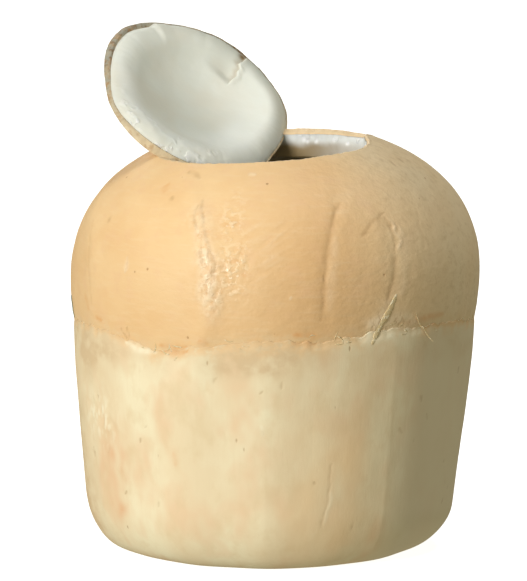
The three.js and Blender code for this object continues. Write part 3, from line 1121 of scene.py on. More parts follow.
@dataclass
class HuskBody:
    """The husk: a slightly tapering block round the keel, knife-cut at the sides and flat below."""

    foot_radius: float = 48.3
    taper: float = 0.107
    top_radius: float = 54.7
    top_blend: float = 0.5
    corner_radius: float = 13.0
    corner_height: float = 17.0
    corner_power: float = 2.2
    chamfer: float = 0.25  # how much flatter the corner is at the right, where a knife took it off
    chamfer_drop: float = 5.0  # how much lower it starts there
    sides: int = 520
    base_rows: int = 5
    corner_rows: int = 24
    side_rows: int = 112
    lip_rows: int = 22
    cup_rows: int = 10
    lip_height: float = 12.0
    feather: float = 2.2  # how far below its lip the husk thins out
    swelling: float = 0.25  # how far it stands off the shell there
    lip_thickness: float = 0.04
    # The bearings between the knife's flats, in degrees, and how flat each of them is.
    edges: tuple[float, ...] = (-205, -164, -128, -97, -66, -34, 0, 39, 83, 118, 155, 196)
    flatness: tuple[float, ...] = (0.16, 0.2, 0.18, 0.16, 0.14, 0.1, 0.08, 0.2, 0.2, 0.18, 0.16)
    scuff: Patch = Patch(-62, 39, 8, 6)  # whitish and rough
    warmest: Patch = Patch(20, 22, 15, 21)
    grey_top: Patch = Patch(-66, 58, 9, 9, 1.3)
    grey_foot: Patch = Patch(-80, 12, 12, 10, 0.9)
    # The orange-tan bruise at the lower left.
    bruise: tuple[Patch, ...] = (
        Patch(-56, 28, 11, 9, 0.34), Patch(-54, 30, 4.5, 9, 0.2), Patch(-53.5, 15, 4, 3.2, 0.7),
    )
    dashes: int = 70
    creases: tuple[Stroke, ...] = (
        Stroke(((18.2, 30.4), (17.9, 27), (18.3, 23.3), (17.2, 17.9), (16.6, 14.2)), 0.3, 0.1, 0.42),
        Stroke(((16.4, 15.2), (16.2, 13.4)), 0.4, 0.1, 0.35),
    )
    pale_marks: tuple[Stroke, ...] = (
        Stroke(((-48, 61), (-42, 59.6), (-36, 59.2)), 1.0, -0.08, 0.9),
        Stroke(((-3, 41.5), (-2.6, 38.5)), 0.5, -0.06, 0.6),
        Stroke(((25, 63.6), (32, 64.4), (46, 64.4)), 2.9, -0.06, 0.95),
        Stroke(((18.9, 23), (17.9, 18), (17.4, 14)), 0.6, -0.05, 0.35),
    )
    orange_marks: tuple[Stroke, ...] = (
        Stroke(((-34.5, 60.4), (-30, 59.6), (-25, 60.2)), 0.9, dark=0.9),
        Stroke(((-29.6, 33), (-29, 29)), 0.7, dark=0.35),
        Stroke(((37, 65), (47, 66), (56, 66)), 0.9, dark=0.8),
        Stroke(((5, 63.2), (11.5, 63.2)), 0.8, dark=0.7),
    )

    def skin(self, bearing: Array, height: Array) -> Array:
        """Finds the husk's outside, before its roughness.

        Args:
            bearing: The bearing of each place.
            height: The height of each place.

        Returns:
            The radius of each place.
        """
        side = self.foot_radius + self.taper * height
        short = (self.top_radius - side) / self.top_blend
        straight = self.top_radius - self.top_blend * np.log1p(np.exp(short))
        at_right, at_front = near(bearing, 84, 34), near(bearing, -5, 50)
        below = np.clip(1 - height / (self.corner_height - self.chamfer_drop * at_right), 0, 1)
        power = self.corner_power - self.chamfer * at_right - 0.12 * at_front
        reach = (1 - below ** power) ** (1 / power)
        flutes = 0.25 * np.sin(9 * bearing + 0.5) + 0.15 * np.sin(14 * bearing + 2)
        rounded = (self.corner_radius + at_front) * (1 - reach)
        return straight - rounded + NUT.lobes(bearing) + flutes

    def build(self, shell: ShellDome) -> bpy.types.Object:
        """Shapes the husk from a ball: base, corner, side and lip, and the cup that holds the keel.

        Args:
            shell: The shell that the husk's lip lies on and whose keel it holds.

        Returns:
            The husk, with its masks.
        """
        corner_end = self.base_rows + self.corner_rows
        side_end = corner_end + self.side_rows
        lip_end = side_end + self.lip_rows
        last = lip_end + self.cup_rows - 1
        piece, row, bearing = ball("husk_body", last + 1, self.sides, CROWDING)
        seam = NUT.seam(bearing)
        lip_foot = seam - self.lip_height
        turn = run(row, self.base_rows - 1, corner_end - 1) * 90 * DEGREE
        height = self.corner_height * (1 - np.cos(turn))
        up = run(row, corner_end - 1, side_end - 1)
        height = np.where(row >= corner_end, blend(self.corner_height, lip_foot, up), height)
        along = run(row, side_end - 1, lip_end - 1)
        height = np.where(row >= side_end, blend(lip_foot, seam, along), height)
        on_base = row < self.base_rows
        height = np.where(on_base, 0, height)
        base = self.skin(bearing, np.zeros_like(bearing)) * row / (self.base_rows - 1)
        radius = np.where(on_base, base, self.surface(bearing, height, shell))

        down = run(row, lip_end, last)
        cup_latitude = blend(NUT.keel_latitude(seam), -90 * DEGREE, down)
        cup_radius, cup_height = shell.skin(bearing, cup_latitude)
        clear = NUT.gap * smooth(down, 0, 0.2)
        cup = cup_radius + clear * np.cos(cup_latitude), cup_height + clear * np.sin(cup_latitude)
        outer = row < lip_end
        radius, height = either(outer, (radius, height), cup)
        radius = close_poles(radius, row)

        self.mark(piece, Places(bearing, np.maximum(radius, 1), height), seam, outer)
        write_points(piece, NUT.leaning(round_points(radius, bearing, height)))
        return piece

    def surface(self, bearing: Array, height: Array, shell: ShellDome) -> Array:
        """Finds the husk's finished outside, thinned on to the shell at its lip.

        Args:
            bearing: The bearing of each place.
            height: The height of each place.
            shell: The shell that the lip lies on.

        Returns:
            The radius of each place.
        """
        radius = self.skin(bearing, height)
        rough = self.roughness(Places(bearing, radius, height)) * smooth(height, 1, 7)
        level = NUT.seam_level(bearing)
        gap = self.skin(bearing, level) - shell.skin(bearing, NUT.keel_latitude(level))[0] - self.swelling
        drawn_in = smooth(level - height, self.lip_height, 0)
        radius = radius + rough * (1 - 0.7 * drawn_in) - gap * drawn_in
        on_shell, _ = shell.surface(bearing, NUT.keel_latitude(height))
        at_lip = smooth(NUT.seam(bearing) - height, self.feather, 0)
        return blend(radius, on_shell + self.lip_thickness, at_lip)

    def roughness(self, places: Places) -> Array:
        """Works out the cut sides' lumps, flats and marks.

        Args:
            places: Where to work them out.

        Returns:
            How far the side stands out at each place.
        """
        points = places.points
        lift = 0.2 * grain(points, (14, 14, 20), seed=31) + 0.04 * grain(points, (4, 4, 7), seed=32)
        lift += 0.012 * grain(points, (1.4, 1.4, 3), seed=33) + self.facets(places)
        lift += 0.42 * self.scuff.share(places) * grain(points, (1.1, 1.1, 2.8), seed=34)
        for stroke in self.creases + self.pale_marks + self.cut_fibres():
            lift -= stroke.depth * stroke.share(places)
        return lift

    def cut_fibres(self) -> tuple[Stroke, ...]:
        """Scatters the ends of cut fibre bundles over the sides.

        Returns:
            Short dashes.
        """
        draw = np.random.default_rng(35)
        strokes = []
        for _ in range(self.dashes):
            bearing, height = draw.uniform(-180, 180), draw.uniform(7, 57)
            length, lean = draw.uniform(0.5, 1.8), draw.uniform(-0.9, 0.9)
            path = ((bearing, height), (bearing + lean, height + length))
            strokes.append(Stroke(path, draw.uniform(0.25, 0.42), 0.1, draw.uniform(0.3, 0.8)))
        return tuple(strokes)

    def mark(self, piece: bpy.types.Object, places: Places, seam: Array, outer: Array) -> None:
        """Writes the husk's masks.

        Args:
            piece: The husk.
            places: Where its points are.
            seam: The lip's height at each point's bearing.
            outer: Which points are on the outside.
        """
        points = places.points
        below = seam - places.height
        reach = 2.6 + 3.2 * grain(points, (5, 5, 3), seed=36) + 2.7 * near(places.bearing, 5, 36)
        write_mask(piece, Mask.LIP, outer * (1 - smooth(below, 0.2, np.maximum(reach, 0.6))))
        write_mask(piece, Mask.WEATHERED, outer * self.greyed(places, below))
        warm = self.warmest.share(places) * (0.9 + 0.8 * grain(points, (9, 9, 14), seed=45))
        write_mask(piece, Mask.BROWNED, outer * warm)
        # Painted shade tint: the right side, away from the key light, greyer.
        shade_side_bearing = places.degrees + 4 * grain(points, (9, 9, 20), seed=46)
        write_mask(piece, Mask.DEEP, outer * smooth(shade_side_bearing, 34, 52) * (1 - smooth(shade_side_bearing, 110, 165)))
        bruise = sum(patch.share(places) for patch in self.bruise)
        write_mask(piece, Mask.STAIN, outer * (bruise * (0.9 + 0.9 * grain(points, (3, 3, 4), seed=39))))
        write_mask(piece, Mask.CREASE, outer * darkest(self.creases + self.cut_fibres(), places))
        write_mask(piece, Mask.ORANGE, outer * darkest(self.orange_marks, places))
        scuffed = self.scuff.share(places) * smooth(grain(points, (1.1, 1.1, 2.8), seed=34), 0, 0.3)
        write_mask(piece, Mask.PALE, outer * np.maximum(scuffed, darkest(self.pale_marks, places)))

    def greyed(self, places: Places, below: Array) -> Array:
        """Works out where the pith has greyed: below the lip in patches, and at the left.

        Args:
            places: Where to work it out.
            below: How far each place is below the lip.

        Returns:
            How grey each place is.
        """
        points, degrees, height = places.points, places.degrees, places.height
        patchy = (0.35 + 0.5 * grain(points, (9, 9, 6), seed=37)) * (1 - smooth(below, 5, 12))
        front = 2.1 * np.exp(-((degrees + 4) / 14) ** 2) * (1 - smooth(below, 4.5, 12))
        left = self.grey_top.share(places)
        edge = 0.8 * smooth(-degrees, 62, 84) * (1 - 0.7 * np.exp(-((height - 48) / 9) ** 2))
        edge *= 1 - smooth(-degrees, 110, 165)
        edge += self.grey_foot.share(places)
        grey = np.maximum(patchy, front) + np.maximum(left, edge)
        return grey * (0.85 + 0.7 * grain(points, (5, 5, 4), seed=38))

    def facets(self, places: Places) -> Array:
        """Cuts the knife's broad flats, which drift a little sideways with their height.

        Args:
            places: Where to cut them.

        Returns:
            The flats, as a drop from the round.
        """
        drift = 0.03 * (places.height - 30) + 2 * np.sin(2 * places.bearing + 1)
        place = places.degrees + drift
        edges = np.array(self.edges)
        cut = np.clip(np.searchsorted(edges, place) - 1, 0, len(edges) - 2)
        half = (edges[cut + 1] - edges[cut]) / 2
        share = np.clip((place - edges[cut]) / half - 1, -1, 1)
        flat = np.array(self.flatness)[cut]
        return -flat * SIDE_RADIUS * (1 - np.cos(half * DEGREE)) * (1 - share ** 2)


@dataclass
class FleshLining:
    """The white flesh inside the shell, cut through at the mouth."""

    sides: int = 360
    outside_rows: int = 8
    cut_rows: int = 30
    inside_rows: int = 60
    crown: float = 0.9
    cut_slope: float = 4 * DEGREE  # how much lower the cut is at its inner edge
    shade_depth: float = 4.0  # how far below the cut the painted shadow is full
    # Beads of coconut water: bearing in degrees, millimetres below the cut, and size.
    beads: tuple[tuple[float, float, float], ...] = (
        (161, 1.5, 0.55), (158.5, 1.9, 0.45), (151, 1.9, 0.5), (137, 1.6, 0.4), (128, 2.0, 0.45),
    )

    def build(self) -> bpy.types.Object:
        """Shapes the lining from a ball: outside from the bottom up, cut, and inside down again.

        Returns:
            The lining, with its masks.
        """
        cut_end = self.outside_rows + self.cut_rows
        last = cut_end + self.inside_rows - 1
        piece, row, bearing = ball("flesh_lining_skin", last + 1, self.sides)
        edge, cut_wall = NUT.cut_edge(bearing), NUT.cut_wall(bearing)
        up = run(row, 0, self.outside_rows - 1)
        outset = blend(NUT.flesh_outside, cut_wall + 0.1, smooth(up, 0.8, 1))
        outside = NUT.point(blend(-90 * DEGREE, edge, up), outset)
        across = run(row, self.outside_rows - 1, cut_end)
        cut_radius, cut_height = NUT.point(edge, cut_wall)
        inner_edge = NUT.cut_edge(bearing, ragged=0) - self.cut_slope
        inner_radius, inner_height = NUT.point(inner_edge, NUT.flesh_inside)
        crown = self.crown * np.sin(math.pi * across ** 0.7)
        on_cut = (row >= self.outside_rows) & (row < cut_end)
        cut = blend(cut_radius, inner_radius, across), blend(cut_height, inner_height, across) + crown
        inside = NUT.point(blend(inner_edge, -90 * DEGREE, run(row, cut_end, last)), NUT.flesh_inside)
        radius, height = either(row >= cut_end, inside, either(on_cut, cut, outside))
        radius = close_poles(radius, row)

        points = round_points(radius, bearing, height)
        exposed = row >= self.outside_rows
        wet = smooth(height, cut_height - 4, cut_height) * exposed
        beaded = np.zeros_like(bearing)
        for at, below, size in self.beads:
            around = apart(bearing, at * DEGREE) * radius
            beaded += np.exp(-(around ** 2 + (height - cut_height + below) ** 2) / size ** 2)
        beaded *= exposed
        lumps = 0.3 * grain(points, 8, seed=41) + wet * 0.24 * grain(points, (3, 3, 1.6), seed=42)
        lumps += 0.3 * beaded
        soft = (row > self.outside_rows) * smooth(height, 30, 60)
        points += (lumps * soft)[:, None] * round_points(np.cos(edge), bearing, np.sin(edge))
        write_mask(piece, Mask.WET, wet * smooth(grain(points, 5, seed=43), -0.2, 0.5))
        # Painted glints: the beads are coloured white.
        write_mask(piece, Mask.PALE, 1.2 * beaded)
        # Painted shadow: browned below the cut, most at the back and beside the lid, where the front rim
        # and the lid shade it.
        shadow_strength = 0.15 + 0.8 * near(bearing, 170, 48)
        depth = cut_height - height + 1.2 * grain(points, 5, seed=44) + 1.2 * near(bearing, 183, 12)
        stain = shadow_strength * smooth(depth, 1.0, self.shade_depth) * (1 - 0.6 * smooth(depth, 14, 30))
        skin = 0.5 * on_cut * (1 - smooth(across, 0.03, 0.12))  # the thin brown skin of the flesh
        write_mask(piece, Mask.BROWNED, np.maximum(stain, skin))
        write_points(piece, NUT.leaning(points))
        return piece


# --- the lid -------------------------------------------------------------------------------------


@dataclass
class Lid:
    """The loose lid: a cap of shell lined with flesh, resting in the mouth, its hollow side out.

    Its own bearings start at its low side and go towards the right as seen from its hollow side.
    """

    radius: float = 27.7
    sag: float = 8.0
    # How far the cut ran wide, in millimetres, round each bearing and over how many degrees.
    swells: tuple[tuple[float, float, float], ...] = (
        (2.5, -76, 36), (4.2, -78, 24), (-0.8, -145, 25), (3.7, 138, 32), (0.6, 75, 25),
    )
    thin_wall: float = 0.45
    thick_wall: float = 1.75
    bulge: float = 1.7  # how much thicker its shell stands out at the low left
    flesh_inside: float = 5.9
    rounding: float = 8.0  # how far in from the rim the flesh starts to thin out
    right_rounding: float = 5.0  # the same at the right
    bare_edge: float = 1.4  # how much shell shows past the flesh at the upper left
    tear_depth: float = 1.1
    centre: tuple[float, float, float] = (-19.8, 17.3, 119.7)
    tilt: float = 40 * DEGREE  # from lying flat with its hollow up
    facing: float = 39 * DEGREE  # bearing of its low side
    chip_bearing: float = 177 * DEGREE
    # The tear: shares of the way out to the rim, and its bearing at each in degrees.
    tear_shares: tuple[float, ...] = (0.58, 0.64, 0.70, 0.75, 0.79, 0.83, 0.90, 0.97)
    tear_bearings: tuple[float, ...] = (109, 110.5, 110, 113, 113, 116.5, 115.5, 117)
    shell_sides: int = 360
    shell_back_rows: int = 40
    shell_rim_rows: int = 10
    shell_hollow_rows: int = 12
    flesh_sides: int = 520
    flesh_back_rows: int = 10
    flesh_face_rows: int = 150
    crowding_rows: float = 1.7  # how much the rows of the flesh's face crowd to its rim

    @property
    def sphere(self) -> float:
        """The radius of the sphere that the lid was cut from."""
        return (self.radius ** 2 + self.sag ** 2) / (2 * self.sag)

    def rim(self, bearing: Array) -> Array:
        """Finds the rim: a little oval, a little three-sided, and uneven.

        Args:
            bearing: Each bearing.

        Returns:
            How far out the rim lies, as an angle at the middle of the sphere.
        """
        oval = 0.055 * np.cos(2 * (bearing + 15 * DEGREE))
        triangle = 0.067 * np.cos(3 * (bearing - 86 * DEGREE))
        edge = ring(self.radius, bearing)
        wide = 0.22 * grain(edge, 5, seed=55) + 0.08 * grain(edge, 1.5, seed=56)
        for far, at, width in self.swells:
            wide += far * near(bearing, at, width)
        return math.asin(self.radius / self.sphere) * (1 + oval + triangle) + wide / self.sphere

    def wall(self, bearing: Array) -> Array:
        """Returns the thickness of the shell at the rim: it was cut thickest at the left."""
        return blend(self.thin_wall, self.thick_wall, near(bearing, -128, 50))

    def point(self, polar: Array, inset: float | Array) -> tuple[Array, Array]:
        """Returns the radius and height from the middle of the lid's back."""
        reach = self.sphere - inset
        return reach * np.sin(polar), self.sphere - self.sag - reach * np.cos(polar)

    def placed(self, points: Array) -> Array:
        """Returns points of the lid, laid in the mouth."""
        turn = np.array(Euler((self.tilt, 0, self.facing), "XYZ").to_matrix())
        return points @ turn.T + np.array(self.centre)

    def build_shell(self) -> bpy.types.Object:
        """Shapes the lid's shell layer from a ball: its back, its rim and its hollow side.

        Returns:
            The shell layer, with its mask.
        """
        rim_start = self.shell_back_rows
        rim_end = rim_start + self.shell_rim_rows
        last = rim_end + self.shell_hollow_rows - 1
        piece, row, bearing = ball("lid_shell_skin", last + 1, self.shell_sides)
        rim, wall = self.rim(bearing), self.wall(bearing)
        back = run(row, 0, rim_start - 1)
        across = run(row, rim_start - 1, rim_end)
        leaning = (0.2 + 0.7 * near(bearing, -165, 45)) / self.sphere
        crown = 0.25 * np.sqrt(np.clip(1 - (2 * across - 1) ** 2, 0, 1)) / self.sphere
        on_rim = (row >= rim_start) & (row < rim_end)
        inside = row >= rim_end
        polar = np.where(on_rim, rim - leaning * across + crown, rim * back)
        polar = np.where(inside, (rim - leaning) * (1 - run(row, rim_end, last)), polar)
        low_left = self.bulge * near(bearing, -56, 22)
        outset = low_left * np.where(on_rim, 1 - across, smooth(back, 0.5, 1) * (row < rim_start))
        inset = np.where(on_rim, wall * across, np.where(inside, wall, 0)) - outset
        radius, height = self.point(polar, inset)
        points = round_points(close_poles(radius, row), bearing, height)
        rough = 0.08 * grain(points, 3, seed=51) + on_rim * 0.12 * grain(points, 1.2, seed=52)
        points += rough[:, None] * round_points(np.sin(polar), bearing, -np.cos(polar))
        browned = near(bearing, -142, 60) + 0.9 * near(bearing, 120, 70)
        edge = smooth(polar / rim, 0.9, 0.96) * (0.9 + 0.4 * grain(points, 3, seed=53))
        write_mask(piece, Mask.BROWNED, browned * edge)
        write_points(piece, self.placed(points))
        return piece

    def build_flesh(self) -> bpy.types.Object:
        """Shapes the lid's flesh layer from a ball: its back, and the face that shows.

        Returns:
            The flesh layer, with its masks.
        """
        face_start = self.flesh_back_rows
        last = face_start + self.flesh_face_rows - 1
        piece, row, bearing = ball("lid_flesh_skin", last + 1, self.flesh_sides)
        edge = self.rim(bearing) - self.bare_rim(bearing) / self.sphere
        wall = self.wall(bearing) + 0.04
        on_face = row >= face_start
        inward = run(row, face_start - 1, last) ** self.crowding_rows
        polar = np.where(on_face, edge * (1 - inward), edge * run(row, 0, face_start - 1))
        rim_share = polar / self.rim(bearing)

        rounding = blend(self.rounding, self.right_rounding, near(bearing, 70, 55))
        left = np.clip(1 - inward / (rounding / (self.sphere * edge)), 0, 1)
        rounded = np.sqrt(1 - left ** 2)
        inset = np.where(on_face, blend(wall, self.flesh_inside, rounded), wall)
        torn = self.torn(bearing, rim_share) * on_face
        radius, height = self.point(polar, inset - torn)

        points = round_points(close_poles(radius, row), bearing, height)
        wet = near(bearing, -58, 30) * smooth(rim_share, 0.78, 0.93)
        lumps = 0.25 * grain(points, 9, seed=61) + 0.035 * grain(points, 3, seed=62)
        lumps += (0.01 + 0.13 * wet) * grain(points, 2.0, seed=63)
        points += (lumps * on_face)[:, None] * round_points(np.sin(polar), bearing, -np.cos(polar))
        write_mask(piece, Mask.WET, wet * smooth(grain(points, 3.5, seed=64), -0.1, 0.5) * on_face)
        # Painted light: the low side and the band along the left of the rim are coloured whiter.
        low = 0.75 * near(bearing, 8, 55) * smooth(rim_share, 0.3, 0.6)
        low *= 1 - 0.6 * smooth(rim_share, 0.8, 0.98)
        band = 0.7 * near(bearing, -80, 60) * smooth(rim_share, 0.6, 0.88)
        band *= 1 - smooth(rim_share, 0.9, 0.98)
        write_mask(piece, Mask.PALE, np.maximum(low, band) * on_face)
        spot = near(bearing, 119, 2.6) * smooth(rim_share, 0.88, 0.95)
        # A brown spot, and painted shade at the foot of the tear.
        write_mask(piece, Mask.BROWNED, (0.8 * spot + 0.45 * self.tear_foot_shade(bearing, rim_share)) * on_face)
        write_points(piece, self.placed(points))
        return piece

    def bare_rim(self, bearing: Array) -> Array:
        """Finds how much of the shell's edge the flesh leaves bare, with a chip at the top.

        Args:
            bearing: Each bearing.

        Returns:
            The bare edge's width at each bearing.
        """
        past = apart(bearing, self.chip_bearing)
        chipped = smooth(past, -2 * DEGREE, 4 * DEGREE) * (1 - smooth(past, 30 * DEGREE, 80 * DEGREE))
        far = 0.5 * near(bearing, 140, 55)
        return 0.15 + far * (1 - chipped) + self.bare_edge * chipped

    def torn(self, bearing: Array, rim_share: Array) -> Array:
        """Tears the flesh: it is lower on one side of the tear, and its lip lifts on the other.

        Args:
            bearing: The bearing of each place.
            rim_share: How far out it is, as a share of the way to the rim.

        Returns:
            How far the flesh is lowered at each place.
        """
        past = self.past_tear(bearing, rim_share)
        ends = smooth(rim_share, 0.54, 0.66)
        fading = (past < 90) * (1 - smooth(apart(bearing, 112 * DEGREE) / DEGREE, 4, 30))
        lowered = smooth(past, -0.3, 1.0) * fading
        lifted = 0.3 * np.exp(-((past + 1.5) / 3) ** 2) * (past < 0.2)
        return ends * (self.tear_depth * lowered - lifted)

    def tear_foot_shade(self, bearing: Array, rim_share: Array) -> Array:
        """Returns the painted shade at the foot of the tear."""
        past = self.past_tear(bearing, rim_share)
        return smooth(rim_share, 0.56, 0.7) * smooth(past, 0, 0.8) * (1 - smooth(past, 1, 7))

    def past_tear(self, bearing: Array, rim_share: Array) -> Array:
        """Returns how many degrees past the tear a place is, at its share of the way to the rim."""
        tear = np.interp(rim_share, self.tear_shares, self.tear_bearings) * DEGREE
        return apart(bearing, tear) / DEGREE


# --- torn threads and scraps ---------------------------------------------------------------------


@dataclass
class Thread:
    """A torn thread or flake that lies on the body, following points of bearing and height."""

    name: str
    path: Points
    width: float
    thickness: float
    lift: float  # how far its free ends stand off
    steps: int = 60
    sides: int = 10
    lumps: float = 0.15

    def build(self, shell: ShellDome, husk: HuskBody) -> bpy.types.Object:
        """Draws the thread along its path, from a ball.

        Args:
            shell: The shell that it lies on above the seam.
            husk: The husk that it lies on below the seam.

        Returns:
            The thread, a closed tube.
        """
        piece, row, turn = ball(self.name, self.steps, self.sides)
        along = row / (self.steps - 1)
        stations = np.linspace(0, 1, len(self.path))
        bearing = np.interp(along, stations, [at for at, _ in self.path]) * DEGREE
        height = np.interp(along, stations, [level for _, level in self.path])
        on_shell = shell.surface(bearing, NUT.keel_latitude(height))[0]
        on_dome = NUT.point(np.arcsin(np.clip((height - NUT.widest) / NUT.dome_height, 0, 1)))[0]
        on_shell = np.where(height > NUT.widest, on_dome, on_shell)
        radius = np.where(height < NUT.seam(bearing), husk.skin(bearing, height), on_shell)
        radius = np.maximum(radius, on_shell) + self.lift * (2 * along - 1) ** 4

        level, upright = self.path[-1][0] - self.path[0][0], self.path[-1][1] - self.path[0][1]
        heading = math.atan2(upright, level * DEGREE * SIDE_RADIUS)
        swell = np.sin(math.pi * np.clip(along, 0.03, 0.97)) ** 0.45
        swell *= (row > 0) & (row < self.steps - 1)
        middle = round_points(radius, bearing, height)
        rough = 1 + self.lumps * 2 * grain(middle, 1.1, seed=81)
        aside = 0.5 * self.width * swell * rough * np.sin(turn)
        away = 0.5 * self.thickness * swell * rough * np.cos(turn)
        around = aside * -math.sin(heading) / np.maximum(radius, 1)
        points = round_points(radius + away, bearing + around, height + aside * math.cos(heading))
        write_points(piece, NUT.leaning(points))
        return piece


@dataclass
class SeamFringe:
    """Short, flat torn fibres that lie every way along the seam, half sunk in the pith."""

    count: int = 64
    spread: float = 1.1  # how far they are scattered below and above the seam
    longest: float = 3.4
    shortest: float = 1.2
    width: float = 0.45
    thickness: float = 0.16
    thread_sides: int = 6
    thread_rows: int = 8

    def build(self, shell: ShellDome, husk: HuskBody) -> bpy.types.Object:
        """Models one fibre, copies it and lays the copies round the seam.

        Args:
            shell: The shell that the fibres lie on above the seam.
            husk: The husk that they lie on below it.

        Returns:
            The fringe.
        """
        thread, row, turn = ball("seam_fringe", self.thread_rows, self.thread_sides)
        along = row / (self.thread_rows - 1)
        copies = [thread]
        for _ in range(self.count - 1):
            copy = thread.copy()
            copy.data = thread.data.copy()
            bpy.context.collection.objects.link(copy)
            copies.append(copy)

        draw = np.random.default_rng(91)
        each = (self.count, 1)
        at = draw.uniform(-180, 180, each) * DEGREE
        middle = NUT.seam(at[:, 0])[:, None] + draw.normal(-0.3, self.spread, each)
        ahead = (along - 0.5) * draw.uniform(self.shortest, self.longest, each)
        heading = draw.normal(0, 35, each) * DEGREE
        bow = draw.uniform(-0.5, 0.5, each) * np.sin(math.pi * along)
        swell = 0.5 * np.sin(math.pi * along) ** 0.6 * draw.uniform(0.6, 1.2, each)
        aside = bow + self.width * swell * np.sin(turn)
        bearing = at + (ahead * np.cos(heading) - aside * np.sin(heading)) / SIDE_RADIUS
        height = middle + ahead * np.sin(heading) + aside * np.cos(heading)
        flat = bearing.ravel(), np.minimum(height, NUT.widest).ravel()
        on_shell = shell.surface(flat[0], NUT.keel_latitude(flat[1]))[0].reshape(height.shape)
        on_husk = husk.surface(flat[0], flat[1], shell).reshape(height.shape)
        radius = np.where(height < middle, on_husk, on_shell) + self.thickness * swell * np.cos(turn)
        for index, copy in enumerate(copies):
            points = round_points(radius[index], bearing[index], height[index])
            write_points(copy, NUT.leaning(points))
        bpy.ops.object.select_all(action="DESELECT")
        for copy in copies:
            copy.select_set(True)
        bpy.context.view_layer.objects.active = thread
        bpy.ops.object.join()
        return thread


# --- the studio ----------------------------------------------------------------------------------


@dataclass(frozen=True)
class Softbox:
    """A soft round light that points at the coconut; its distance and size are in metres."""

    name: str
    bearing: float  # where it stands, in degrees from the front towards the right
    elevation: float  # how high it stands, in degrees
    distance: float
    size: float
    strength: float  # the share of full white that it gives a white card facing it
    colour: str = "#FFFFFF"

    def place(self, pivot: Vector) -> None:
        """Adds the light.

        Args:
            pivot: The point that it stands round, in metres.
        """
        bearing, elevation = self.bearing * DEGREE, self.elevation * DEGREE
        level = math.cos(elevation)
        way = Vector((math.sin(bearing) * level, -math.cos(bearing) * level, math.sin(elevation)))
        bpy.ops.object.light_add(type="AREA", location=way * self.distance + pivot)
        lamp = bpy.context.object
        lamp.name = self.name
        lamp.data.shape = "DISK"
        lamp.data.size = self.size
        spread = self.distance ** 2 + (self.size / 2) ** 2
        lamp.data.energy = self.strength * math.pi * math.pi * spread
        lamp.data.color = linear(self.colour)[:3]
        lamp.rotation_euler = (-way).to_track_quat("-Z", "Y").to_euler()


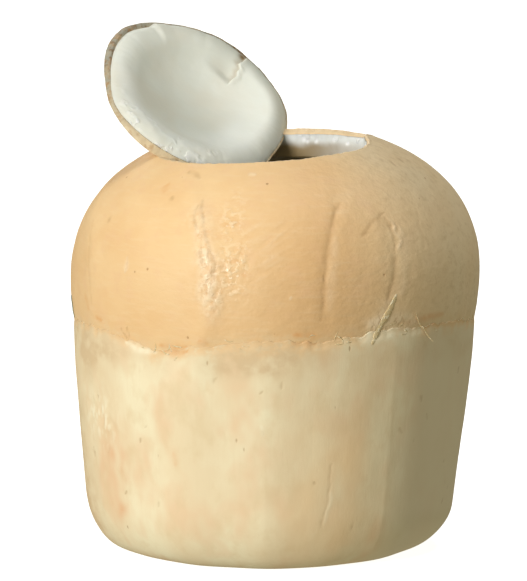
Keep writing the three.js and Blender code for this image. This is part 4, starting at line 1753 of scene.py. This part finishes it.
@dataclass
class Studio:
    """A pale floor, soft studio light and the camera; lengths are in metres."""

    aim: tuple[float, float, float] = (-0.00103, 0.0, 0.06995)
    pivot_height: float = 0.060
    distance: float = 1.5
    elevation: float = 8 * DEGREE
    lens: float = 342.5
    softboxes: tuple[Softbox, ...] = (
        Softbox("key_softbox", -40, 12, 2.0, 0.7, 0.80, "#FFFDFB"),
        Softbox("top_softbox", 70, 78, 1.5, 0.8, 0.37),
        Softbox("back_softbox", 190, 30, 1.8, 0.9, 0.12),
    )
    surround: str = "#FFF9D9"
    sky: float = 0.2
    ground: float = 0.385
    horizon: float = 0.3  # how far above and below the level the sky and the ground meet
    floor_size: float = 12.0
    paper: float = 0.85

    def camera(self) -> None:
        """Sets the camera."""
        away = self.distance
        place = Vector((0, -away * math.cos(self.elevation),
                        self.pivot_height + away * math.sin(self.elevation)))
        bpy.ops.object.camera_add(location=place)
        camera = bpy.context.object
        camera.name = "camera"
        camera.data.lens = self.lens
        camera.rotation_euler = (Vector(self.aim) - place).to_track_quat("-Z", "Y").to_euler()
        bpy.context.scene.camera = camera

    def world(self) -> None:
        """Sets a dim surround, lighter from below, that the camera sees as white."""
        world = bpy.data.worlds.new("studio_surround")
        bpy.context.scene.world = world
        world.use_nodes = True
        tree = world.node_tree
        tree.nodes.clear()
        up = add(tree, "SeparateXYZ", {0: add(tree, "TexCoord").outputs["Generated"]}).outputs["Z"]
        level = add(tree, "MapRange", {"Value": up, "From Min": -self.horizon, "From Max": self.horizon,
                                       "To Min": self.ground, "To Max": self.sky})
        dim = add(tree, "Background", {"Color": linear(self.surround), "Strength": level.outputs[0]})
        white = add(tree, "Background", {"Color": (1, 1, 1, 1), "Strength": 1.0})
        seen = add(tree, "LightPath").outputs["Is Camera Ray"]
        mixed = add(tree, "MixShader", {0: seen, 1: dim.outputs[0], 2: white.outputs[0]})
        add(tree, "OutputWorld", {"Surface": mixed.outputs[0]})

    def floor(self) -> None:
        """Lays the floor: white paper that throws no coloured light back."""
        bpy.ops.object.select_all(action="DESELECT")
        bpy.ops.mesh.primitive_plane_add(size=self.floor_size, location=(0, 0, 0))
        floor = bpy.context.object
        floor.name = "floor"
        material = bpy.data.materials.new("white_paper_floor")
        material.use_nodes = True
        tree = material.node_tree
        tree.nodes.clear()
        paper = add(tree, "BsdfDiffuse", {"Color": (self.paper, self.paper, self.paper, 1)})
        glow = add(tree, "Emission", {"Color": (1, 1, 1, 1), "Strength": self.paper})
        both = add(tree, "AddShader", {0: paper.outputs[0], 1: glow.outputs[0]})
        add(tree, "OutputMaterial", {"Surface": both.outputs[0]})
        floor.data.materials.append(material)
        floor.visible_diffuse = False
        floor.visible_glossy = False

    def build(self) -> None:
        """Sets everything up."""
        bpy.context.scene.view_settings.view_transform = "Standard"
        self.camera()
        for softbox in self.softboxes:
            softbox.place(Vector((0, 0, self.pivot_height)))
        self.world()
        self.floor()


# --- all of it -----------------------------------------------------------------------------------

STRAND = Thread("torn_strand", ((35.8, 75), (33.6, 71), (31, 67.4), (28.3, 61.9)), width=1.8,
                thickness=0.34, lift=0.0, lumps=0.22)
HAIR = Thread("loose_hair", ((42.6, 69.6), (46.6, 64.8), (50, 61)), width=0.42, thickness=0.3, lift=0.9,
              lumps=0.0)
FLAKE = Thread("green_flake", ((-84.6, 69.4), (-84, 66.5), (-84, 63.4)), width=1.0, thickness=0.5,
               lift=0.1)


def main() -> None:
    """Builds every piece and the studio."""
    logging.basicConfig(level=logging.INFO, format="%(name)s: %(message)s")
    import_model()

    shell_finish = ScrapedShell().build()
    husk_finish = CutHusk().build()
    flesh_finish = WetFlesh().build()
    fibre_finish = TornFibre().build()

    shell, husk, lid = ShellDome(), HuskBody(), Lid()
    finish_piece(shell.build(), shell_finish, "shell")
    finish_piece(husk.build(shell), husk_finish, "husk_base")
    finish_piece(FleshLining().build(), WetLining().build(), "flesh_lining")
    finish_piece(lid.build_shell(), LidShell().build(), "lid_shell")
    finish_piece(lid.build_flesh(), flesh_finish, "lid_flesh")
    finish_piece(STRAND.build(shell, husk), fibre_finish)
    finish_piece(HAIR.build(shell, husk), fibre_finish)
    finish_piece(FLAKE.build(shell, husk), GreenSkin().build())
    finish_piece(SeamFringe().build(shell, husk), fibre_finish)
    Studio().build()


if __name__ == "__main__":
    main()
